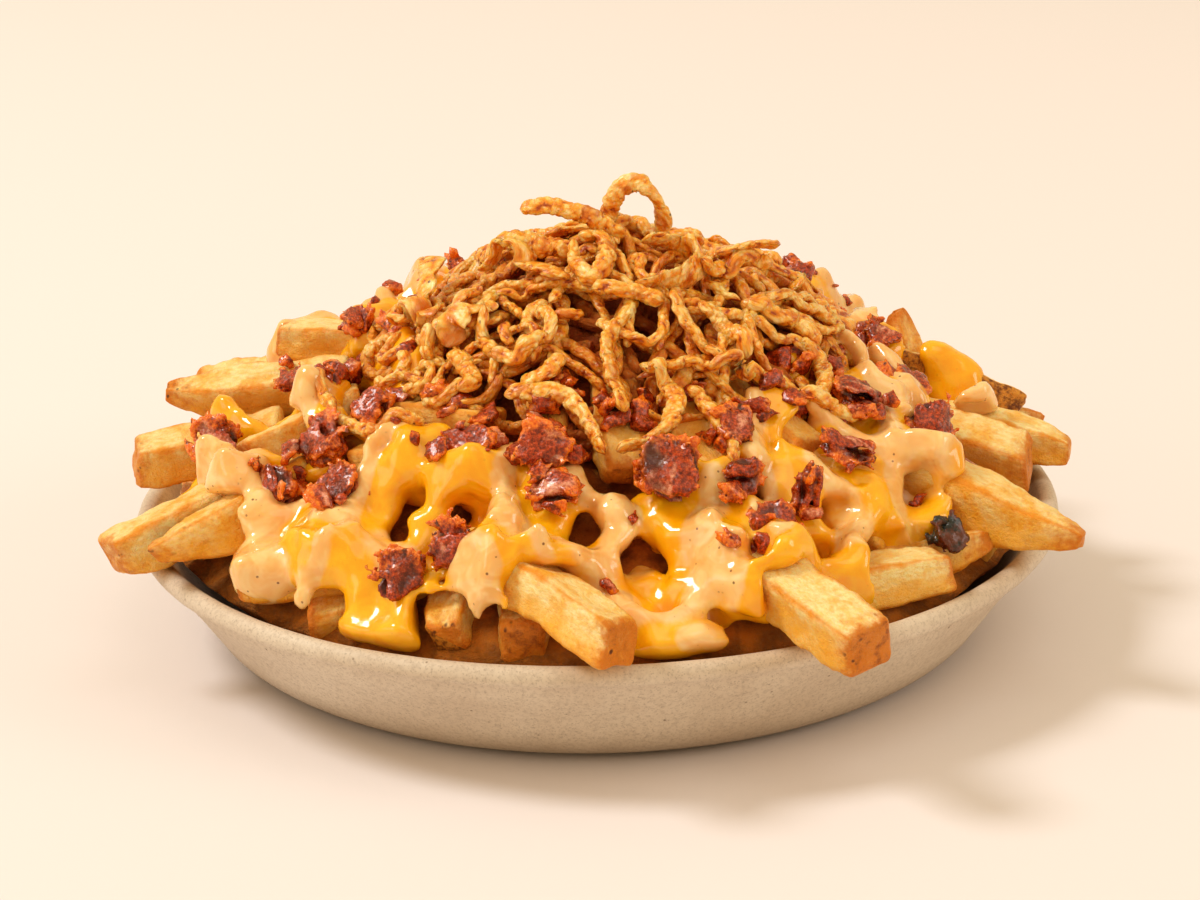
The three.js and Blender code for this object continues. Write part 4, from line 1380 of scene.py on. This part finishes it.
PLACED_STRINGS = [
    [(3, -3, -3), (4, -3, 3), (7, -3, 8), (11, -3, 9), (15, -3, 6), (17, -3, 2), (17, -3, -3)],
    [(-16, -8, 9), (-10, -8, 7), (-3, -8, 5), (3, -8, 1), (8, -8, -2)],
    [(-22, -14, 7), (-18, -14, 5), (-12, -14, 2), (-4, -14, -1)],
    [(43, -14, 10), (36, -14, 6), (31, -14, 3), (25, -14, -1)],
    [(18, -8), (22, -8), (26, -8)],
    [(-3, -13), (1, -11), (3, -16), (3, -22), (0, -26), (-4, -21), (-4, -16)],
    [(-26, -10), (-21, -12), (-15, -17), (-10, -22), (-5, -26)],
    [(-26, -18), (-29, -22), (-33, -25), (-36, -28)],
    [(-23, -25), (-28, -29), (-33, -32)],
    [(-25, -30), (-25, -34), (-22, -39), (-18, -42), (-14, -42), (-10, -39), (-10, -35), (-13, -32)],
    [(-20, -50), (-16, -50), (-11, -51), (-6, -53), (-3, -57), (0, -62), (2, -68)],
    [(-16, -47), (-11, -46), (-7, -44)],
    [(5, -38), (3, -43), (4, -48), (5, -52), (6, -57)],
    [(0, -30), (4, -30), (9, -31), (16, -33)],
    [(18, -30), (19, -34), (23, -39), (30, -43)],
    [(24, -31), (28, -33), (31, -37), (34, -40)],
    [(12, -14), (18, -12), (23, -14), (24, -19), (21, -24), (15, -27), (10, -29)],
    [(25, -21), (32, -17), (37, -15), (41, -16)],
    [(40, -20), (47, -16), (53, -13), (58, -11)],
    [(34, -26), (41, -25), (47, -24), (51, -25)],
    [(47, -28), (50, -28), (52, -30), (52, -33), (50, -38)],
    [(15, -46), (20, -45), (28, -45), (37, -42), (46, -42), (53, -41), (59, -41)],
    [(10, -47), (14, -48), (17, -50), (18, -54), (17, -58), (14, -62), (10, -65), (5, -68)],
    [(21, -49), (24, -52), (27, -57), (29, -61), (30, -66)],
    [(-37, 2, 6), (-38, -6, 5), (-39, -14)],
    [(-46, -10), (-41, -15), (-35, -22)],
    [(-64, -21), (-60, -33), (-55, -43), (-48, -49), (-42, -52), (-38, -51)],
    [(-40, -23), (-37, -30), (-38, -35)],
    [(-33, -35), (-29, -38), (-27, -43), (-30, -46)],
]
RULE_STRINGS = 20
STRING_LIFT = 1.0
FOOT_LIFT = 2.6
STRING_SIDES = 16
STRING_RING_STEP = 0.5
UNDER_SIDES = 8
UNDER_RING_STEP = 1.1
STRING_HALF_WIDTH = 1.85
STRING_HALF_THICKNESS = 1.5
PLACED_RISE = 5.0
PILE_SINK = 5.5
MAP_LOW = -80
MAP_CELLS = 161


def rule_places(draw, azimuth_from=-20, azimuth_span=220):
    """A string that wanders over the pile, drawn as in the part's source."""
    share = math.sqrt(0.02 + 0.98 * draw())
    azimuth = math.radians(azimuth_from + azimuth_span * draw())
    length = 24 + 30 * draw()
    if draw() < 0.35:
        side = -1 if draw() < 0.5 else 1
        bend = side * (3 + 1.6 * draw())
    else:
        bend = 2.4 * (draw() - 0.5)
    heading = 2 * math.pi * draw()
    x = PILE_CENTRE_X + share * PILE_HALF_LENGTH * math.cos(azimuth)
    y = share * PILE_HALF_WIDTH * math.sin(azimuth)
    places = [(x, y)]
    steps = 7
    for _ in range(steps):
        x += 0.85 * length * math.cos(heading) / steps
        y += 0.85 * length * math.sin(heading) / steps
        heading += bend / steps
        past = pile_share(x, y) / 1.05
        if past > 1:
            x = PILE_CENTRE_X + (x - PILE_CENTRE_X) / past
            y /= past
        places.append((x, y))
    return places


class HeightMap:
    """Heights in plan that strings are laid on, one after the other."""

    def __init__(self, cells):
        self.cells = cells

    def spot(self, x, y):
        return [np.clip(np.round(value - MAP_LOW).astype(int), 0, MAP_CELLS - 1) for value in (x, y)]

    def at(self, x, y):
        return self.cells[tuple(self.spot(x, y))]

    def stamp(self, path, reach, top):
        for dx in range(-3, 4):
            for dy in range(-3, 4):
                if math.hypot(dx, dy) > reach:
                    continue
                spot = tuple(self.spot(path[:, 0] + dx, path[:, 1] + dy))
                np.maximum.at(self.cells, spot, path[:, 2] + top - 0.25 * (dx * dx + dy * dy) / reach)


def string_path(places, lift, step, sink):
    """Points along a string. Those that fill the pile lie lower halfway down it, so its sides fall in."""
    points = []
    for place in places:
        x, y = place[:2]
        extra = place[2] if len(place) > 2 else 0
        share = min(float(pile_share(x, y)), 1.0)
        lowered = sink * 4 * share * (1 - share) * (1.3 - share)
        points.append((x, y, float(top_height(x, y)) + lift + extra - lowered))
    return curve_through(points, step)


def evened(values, rounds):
    for _ in range(rounds):
        padded = np.concatenate([values[:1], values, values[-1:]])
        values = 0.25 * padded[:-2] + 0.5 * padded[1:-1] + 0.25 * padded[2:]
    return values


def kinks(path, rng):
    """Small sideways shifts that make a string wavy, as frying does."""
    spot = path + rng.uniform(0, 300, 3)
    return np.stack([0.8 * noise(spot, 6.0, 60 + k) + 0.3 * noise(spot, 3.0, 63 + k) for k in range(3)], -1)


def add_string(builder, path, rng, size, tone, sides, step, flatness, deep):
    """A crisp string: wavy, flat in places, twisted, tapered at both ends, with a crumbly crust."""
    path = path + kinks(path, rng)
    along = np.gradient(path, axis=0)
    along /= np.linalg.norm(along, axis=1, keepdims=True)
    up = np.array([0, 0, 1.0]) + 0.35 * rng.normal(size=3)
    across = np.cross(along, up)
    across /= np.linalg.norm(across, axis=1, keepdims=True)
    outward = np.cross(across, along)
    run = np.arange(len(path)) * step
    twist = (rng.uniform(-0.5, 0.5) + rng.uniform(-0.07, 0.07) * run)[:, None]
    across, outward = (
        across * np.cos(twist) + outward * np.sin(twist),
        outward * np.cos(twist) - across * np.sin(twist),
    )
    offset = rng.uniform(0, 300, 3)
    middle_spot = np.stack([run, 0 * run, 0 * run], -1) + offset
    from_end = np.minimum(run, run[-1] - run)
    taper = np.sqrt(np.clip(1 - (1 - np.minimum(from_end / 1.7, 1)) ** 2, 0.12, 1))
    taper = taper * (1 - 0.12 * np.abs(2 * np.linspace(0, 1, len(path)) - 1) ** 3)
    taper = taper * (1 + 0.2 * noise(middle_spot, 9, 24) + 0.12 * noise(middle_spot, 3.6, 25))
    half_width = STRING_HALF_WIDTH * size * taper * flatness
    half_thickness = STRING_HALF_THICKNESS * size * taper / flatness
    ring_x = np.cos(circle(sides))
    ring_y = np.sin(circle(sides))
    spot = np.broadcast_arrays(run[:, None], 2.2 * size * ring_x, 1.9 * size * ring_y)
    spot = np.stack(spot, -1) + offset
    # The crust's bumps; in the material their crests get painted highlights and their creases painted shade.
    crest = blisters(spot, 1.55, 22) - 0.25 + 0.4 * noise(spot, 4.0, 21)
    grow = 1.0 + 0.24 * crest
    points = (
        path[:, None]
        + (half_width[:, None] * ring_x * grow)[..., None] * across[:, None]
        + (half_thickness[:, None] * ring_y * grow)[..., None] * outward[:, None]
    )
    tips = [path[0] - along[0] * 0.3, path[-1] + along[-1] * 0.3]
    builder.add_rings(points, tips, crest=crest, tone=tone, deep=deep, grain=spot)


def pile_core(builder):
    """A lumpy dome under the strings, coloured with painted shade, so that gaps between them end in painted
    shade.
    """
    shares = np.linspace(1.0, 0.02, 40)[:, None]
    height = pile_height(shares) - 11 - 8 * (shares > 0.96)
    points = rings_at(PILE_HALF_LENGTH * shares, PILE_HALF_WIDTH * shares, height, circle(120))
    points[..., 0] += PILE_CENTRE_X
    points[..., 2] += 1.3 * noise(points, 6, 41) + 0.8 * noise(points, 2.8, 42)
    tips = [(PILE_CENTRE_X, 0, 50), points[-1].mean(0)]
    # Painted shade: low tone, low crest and full painted shade on the dome.
    builder.add_rings(points, tips, crest=-0.6, tone=-0.4, deep=0.97, grain=points)


def curl_places(rng, azimuth_from, azimuth_to, share_from, share_to):
    """A short string curled up, one of the crumbs and knots between the long ones."""
    azimuth = math.radians(rng.uniform(azimuth_from, azimuth_to))
    share = rng.uniform(share_from, share_to)
    x = PILE_CENTRE_X + share * PILE_HALF_LENGTH * math.cos(azimuth)
    y = share * PILE_HALF_WIDTH * math.sin(azimuth)
    radius = rng.uniform(2.6, 4.8)
    start = rng.uniform(0, 2 * np.pi)
    sweep = rng.choice([-1, 1]) * rng.uniform(2.0, 4.6)
    rise = rng.uniform(0.5, 3.5)
    places = []
    for share in np.linspace(0, 1, 7):
        angle = start + sweep * share
        height = rise * math.sin(np.pi * share)
        places.append((x + radius * math.cos(angle), y + radius * math.sin(angle), height))
    return places


def starting_map(ground):
    """Heights that the first strings are laid on: a little inside the pile, and the sauce at its foot."""
    x = MAP_LOW + np.arange(float(MAP_CELLS))
    gx, gy = np.meshgrid(x, x, indexing="ij")
    share = pile_share(gx, gy)
    cells = np.where(share < 1.05, top_height(gx, gy) - 14, 0)
    sauce = np.array([[ground(a, b) for b in x] for a in x])
    return HeightMap(np.where((share > 0.8) & (share < 1.6), np.maximum(cells, sauce), cells))


def make_onions(material, ground):
    """The pile of fried onion strings, from its coarse inside up to the strings that the photo shows."""
    rng = np.random.default_rng(17)
    under = Builder()
    over = Builder()
    heights = starting_map(ground)

    def lay(places, lift, most_rise, tone, size=1.0, flatness=1.0, deep=None, sink=PILE_SINK):
        fine = deep is None
        step = STRING_RING_STEP if fine else UNDER_RING_STEP
        path = string_path(places, lift, step, sink)
        if not sink:
            path[:, 2] += FOOT_LIFT * smooth_step(0.8, 1.05, pile_share(path[:, 0], path[:, 1]))
        rest = heights.at(path[:, 0], path[:, 1]) + STRING_HALF_THICKNESS * 0.8 * size
        raised = np.clip(rest - path[:, 2], 0, most_rise)
        raised = np.maximum(evened(raised, 4), raised * 0.7)
        path[:, 2] += evened(raised, 2)
        heights.stamp(path, 2.4, STRING_HALF_THICKNESS * 0.8 * size)
        sides = STRING_SIDES if fine else UNDER_SIDES
        add_string(over if fine else under, path, rng, size, tone, sides, step, flatness, deep or 0)

    def some_flat():
        return rng.uniform(0.9, 1.25) if rng.random() < 0.7 else rng.uniform(1.5, 1.8)

    # The lower layers get a darker tone and more painted shade the lower they lie, as shade falls deep in
    # the pile.
    lower = random_source(71)
    for _ in range(60):
        lay(rule_places(lower, 0, 360), -7.0, 3.0, -0.3, 1.0, 1.0, 0.75)
    for _ in range(64):
        lay(rule_places(lower, 0, 360), -4.0, 3.0, -0.2, rng.uniform(0.7, 1.1), rng.uniform(0.9, 1.3), 0.3)
    for _ in range(48):
        tone = rng.uniform(-0.2, 0.05)
        lay(rule_places(lower, 0, 360), -1.8, 2.0, tone, rng.uniform(0.55, 0.95), 1.2, 0.08)
    above = random_source(5)
    for _ in range(RULE_STRINGS):
        flatness = some_flat()
        tone = rng.uniform(-0.15, 0.15)
        lay(rule_places(above), STRING_LIFT, 2.0, tone, rng.uniform(0.75, 1.1), flatness)
    for _ in range(16):
        lay(curl_places(rng, 0, 360, 0.3, 1.0), 0.2, 2.0, rng.uniform(-0.2, 0.1), rng.uniform(0.55, 0.85))
    for _ in range(14):
        lay(curl_places(rng, 192, 248, 0.6, 1.06), 0.8, 2.0, rng.uniform(-0.1, 0.2), rng.uniform(0.6, 0.95))
    for places in PLACED_STRINGS:
        flatness = some_flat()
        tone = rng.uniform(-0.1, 0.18)
        size = rng.uniform(0.8, 1.15)
        lay(places, STRING_LIFT + 0.5, PLACED_RISE, tone, size, flatness, sink=0)
    for _ in range(24):
        lay(rule_places(lower, 200, 140), 0.6, 2.0, rng.uniform(-0.1, 0.15), rng.uniform(0.55, 0.8))
    pile_core(under)
    under.make("onion_strings_below", material, "fried_onion", "onion_strings")
    over.make("onion_strings_above", material, "fried_onion", "onion_strings")


# Bacon: each piece takes the form of its solid, rounded and made rough

CHIP_VOXEL = 0.53
CHIP_MARGIN = 2.6
CHIP_SHARPNESS = 3.0
CHIP_SHEETS = 3
CHIP_FAR = 4.0
BIT_VOXEL = 0.75
BIT_SHARPNESS = 8
BIT_ROUGHNESS = 0.16
FOOT_BITS = 110
SAUCE_BITS = 34
BURNT_PLACE = (79, -50)


def hull_planes(corners):
    """Unit normals and distances of the faces of the smallest convex shape round these points."""
    shape = bmesh.new()
    for corner in corners:
        shape.verts.new(corner)
    bmesh.ops.convex_hull(shape, input=shape.verts)
    shape.normal_update()
    normals = []
    heights = []
    for face in shape.faces:
        normal = np.array(face.normal)
        normals.append(normal)
        heights.append(normal @ np.array(face.verts[0].co))
    shape.free()
    outward = np.where(np.array(heights) < 0, -1, 1)
    return np.array(normals) * outward[:, None], np.abs(heights)


def rounded_hull(points, normals, heights, sharpness):
    """Distance outside a convex shape whose edges are rounded off."""
    beyond = np.clip(points @ normals.T - heights, -6, 12)
    return np.log(np.exp(sharpness * beyond).sum(1)) / sharpness


def add_chip(builder, corners, rng, roughness, tone, sharpness, voxel, sheets=0, burnt=0.0):
    """A ragged flake in the form of the convex shape round its corners, in wavy layers torn at the edges."""
    centre = corners.mean(0)
    corners = corners - centre
    normals, heights = hull_planes(corners)
    _, _, main = np.linalg.svd(corners, full_matrices=False)
    extent = np.maximum(np.abs(corners @ main.T).max(0), 0.1)
    low = corners.min(0) - CHIP_MARGIN
    counts = np.ceil((corners.max(0) + CHIP_MARGIN - low) / voxel).astype(int) + 1
    axes = [low[k] + voxel * np.arange(counts[k]) for k in range(3)]
    spot = np.stack(np.meshgrid(*axes, indexing="ij"), -1).reshape(-1, 3)
    depth = np.minimum(rounded_hull(spot, normals, heights, sharpness), CHIP_FAR)
    near = np.abs(depth) < 3.2
    shift = rng.uniform(0, 300, 3)
    local = spot[near] @ main.T
    close = local + shift
    torn = smooth_step(0.35, 0.9, np.hypot(local[:, 0] / extent[0], local[:, 1] / extent[1]))
    fold = noise(close, 5.5, 31)
    jag = noise(close, 2.2, 33) + 0.7 * noise(close, 1.15, 34)
    wave = local[:, 2] + 1.6 * noise(close, 6.5, 32)
    seam = smooth_step(0.6, 1.0, 2 * np.abs((wave / 2.9) % 1 - 0.5))
    swell = (0.7 + 1.3 * torn) * fold + (0.3 + 0.95 * torn) * jag - 1.5 * seam * (0.25 + 0.75 * torn) + 0.2
    depth[near] -= roughness * swell
    if sheets:
        place = spot @ main.T
        leaf = np.full(len(place), CHIP_FAR)
        for k in range(sheets):
            facing = unit(np.array([*rng.normal(0, 0.32, 2), 1.0]))
            level = (k - (sheets - 1) / 2) * 1.5 * extent[2] / sheets
            wave = place @ facing - level + 1.5 * noise(place + shift, 4.6, 50 + k)
            leaf = smooth_min(leaf, np.abs(wave) - rng.uniform(0.85, 1.25), 0.7)
        depth = smooth_max(depth, leaf, 0.8)
    points, quads = surface_of(depth.reshape(counts), voxel, low, CHIP_FAR)
    points, quads = largest_parts(points, quads)
    points = smoothed(points, quads, 1, 0.3)
    local = points @ main.T
    edge = np.clip(np.hypot(local[:, 0] / extent[0], local[:, 1] / extent[1]), 0, 1.2) ** 2
    builder.add(
        points + centre,
        [quads],
        # crest: below 0 where the surface sinks into the hull, which gets painted shade in the material
        crest=np.clip(rounded_hull(points, normals, heights, sharpness), -2, 2),
        tone=np.full(len(points), tone),
        edge=edge,
        burnt=np.full(len(points), burnt),
        grain=local + shift,
    )


def small_bits(builder, ground, rng):
    """Bits too small to be pieces: round the foot of the onion pile, on the sauce and by each piece."""

    def add_bit(x, y, size, height=None):
        corners = rng.normal(size=(14, 3))
        corners /= np.linalg.norm(corners, axis=1, keepdims=True)
        corners *= size * np.array([1, rng.uniform(0.6, 1), rng.uniform(0.5, 0.8)])
        tip = Euler((rng.uniform(-0.7, 0.7), rng.uniform(-0.7, 0.7), rng.uniform(0, 6.28))).to_matrix()
        corners = corners @ np.array(tip).T
        if height is None:
            height = ground(x, y) + 0.25 * size
        corners = corners + (x, y, height)
        tone = rng.uniform(-0.16, 0.08)
        add_chip(builder, corners, rng, BIT_ROUGHNESS * size, tone, BIT_SHARPNESS, BIT_VOXEL)

    for index in range(FOOT_BITS):
        in_front = index < 0.6 * FOOT_BITS
        azimuth = rng.uniform(215, 335) if in_front else rng.uniform(-25, 215)
        direction = polar(azimuth, 1)
        reach = rng.uniform(0.82, 1.2)
        x = PILE_CENTRE_X + reach * PILE_HALF_LENGTH * direction[0]
        y = reach * PILE_HALF_WIDTH * direction[1]
        add_bit(x, y, rng.uniform(2.6, 5.4))
    for _ in range(SAUCE_BITS):
        x, y, _ = polar(rng.uniform(0, 360), rng.uniform(68, 96))
        add_bit(x, y, rng.uniform(2.0, 3.0))
    for name in bacon_nodes():
        corners = node_corners(name)
        middle = corners.mean(0)
        reach = np.abs(corners - middle).max(0)
        for _ in range(rng.integers(1, 4)):
            heading = rng.uniform(0, 2 * np.pi)
            x = middle[0] + 0.95 * reach[0] * math.cos(heading)
            y = middle[1] + 0.95 * reach[1] * math.sin(heading)
            size = rng.uniform(2.6, 4.6)
            add_bit(x, y, size, 0.5 * (ground(x, y) + 0.3 * size) + 0.5 * middle[2])


def make_bacon(material, ground):
    """The bacon pieces, one of them burnt, and the crumbs between them."""
    pieces = Builder()
    crumbs = Builder()
    rng = np.random.default_rng(300)
    names = bacon_nodes()
    middles = np.array([node_corners(name).mean(0) for name in names])
    burnt = np.argmin(np.hypot(middles[:, 0] - BURNT_PLACE[0], middles[:, 1] - BURNT_PLACE[1]))
    for index, name in enumerate(names):
        tone = rng.uniform(-0.12, 0.1)
        char = 1.0 * (index == burnt)
        add_chip(pieces, node_corners(name), rng, 1.0, tone, CHIP_SHARPNESS, CHIP_VOXEL, CHIP_SHEETS, char)
    small_bits(crumbs, ground, rng)
    pieces.make("bacon_pieces", material, "bacon", *names)
    crumbs.make("bacon_crumbs", material, "bacon", *names)


# The pieces

rng = np.random.default_rng(3)
fries = []
for index, (tip, inner, width, taper, skin) in enumerate(PLACED_FRIES + back_fries()):
    roll = math.radians(18 * math.sin(5.1 * index))
    over_rim = index < len(PLACED_FRIES) or index % 2 == len(PLACED_FRIES) % 2
    bare_from = BARE_FROM_OF.get(index, BARE_FROM if over_rim else NEVER_BARE)
    fries.append(Fry(tip, inner, width, taper, skin, roll, bare_from))
fries += filler_fries(fries, rng)
fries += short_fries([fry for fry in fries if not fry.hidden], rng)

make_bowl(stoneware_material())
potatoes = Builder()
for fry in fries:
    add_fry(potatoes, fry, rng)
heap_core(potatoes)
potatoes.make("fries", fry_material(), "sauced_fries", "fries_heap")
ground = make_sauce(fries, sauce_material())
make_bacon(bacon_material(), ground)
make_onions(onion_material(), ground)

# Floor, light and camera: each light has its place, size and power

FLOOR_HALF = 3.0
LIGHT_TARGET = (0, 0, 0.04)
LIGHTS = [
    ("key", (-1.6, 0.1, 2.1), 0.8, 27),
    ("overhead", (0.7, -0.6, 2.5), 1.6, 4.5),
    ("left fill", (-2.2, -0.9, 1.0), 1.2, 3.6),
    ("right fill", (2.3, -0.6, 1.2), 1.2, 8.3),
]

scene = bpy.context.scene
mesh = bpy.data.meshes.new("floor")
corners = [(FLOOR_HALF * x, FLOOR_HALF * y, 0) for x, y in ((-1, -1), (1, -1), (1, 1), (-1, 1))]
mesh.from_pydata(corners, [], [(0, 1, 2, 3)])
mesh.materials.append(floor_material())
floor = bpy.data.objects.new("floor", mesh)
scene.collection.objects.link(floor)

for name, place, size, power in LIGHTS:
    light = bpy.data.lights.new(name, "AREA")
    light.shape = "DISK"
    light.size = size
    light.energy = power
    lamp = bpy.data.objects.new(name, light)
    lamp.location = place
    lamp.rotation_euler = (Vector(LIGHT_TARGET) - Vector(place)).to_track_quat("-Z", "Y").to_euler()
    scene.collection.objects.link(lamp)

world = bpy.data.worlds.new("studio")
world.use_nodes = True
sky = world.node_tree.nodes["Background"]
sky.inputs["Color"].default_value = (0.99, 0.80, 0.53, 1)
sky.inputs["Strength"].default_value = 0.68
scene.world = world

scene.view_settings.view_transform = "Standard"
scene.view_settings.look = "Medium High Contrast"
camera_data = bpy.data.cameras.new("camera")
camera_data.lens = CAMERA_LENS
camera_data.sensor_width = 36
camera_data.clip_start = 0.01
camera_data.clip_end = 20
camera = bpy.data.objects.new("camera", camera_data)
elevation = math.radians(CAMERA_ELEVATION)
back = Vector((0, -math.cos(elevation), math.sin(elevation)))
location = (Vector(CAMERA_TARGET) + CAMERA_DISTANCE * back) * MM
tilt = Euler((math.pi / 2 - elevation, 0, 0)).to_matrix().to_4x4()
roll = Matrix.Rotation(math.radians(CAMERA_ROLL), 4, "Z")
camera.matrix_world = Matrix.Translation(location) @ tilt @ roll
scene.collection.objects.link(camera)
scene.camera = camera
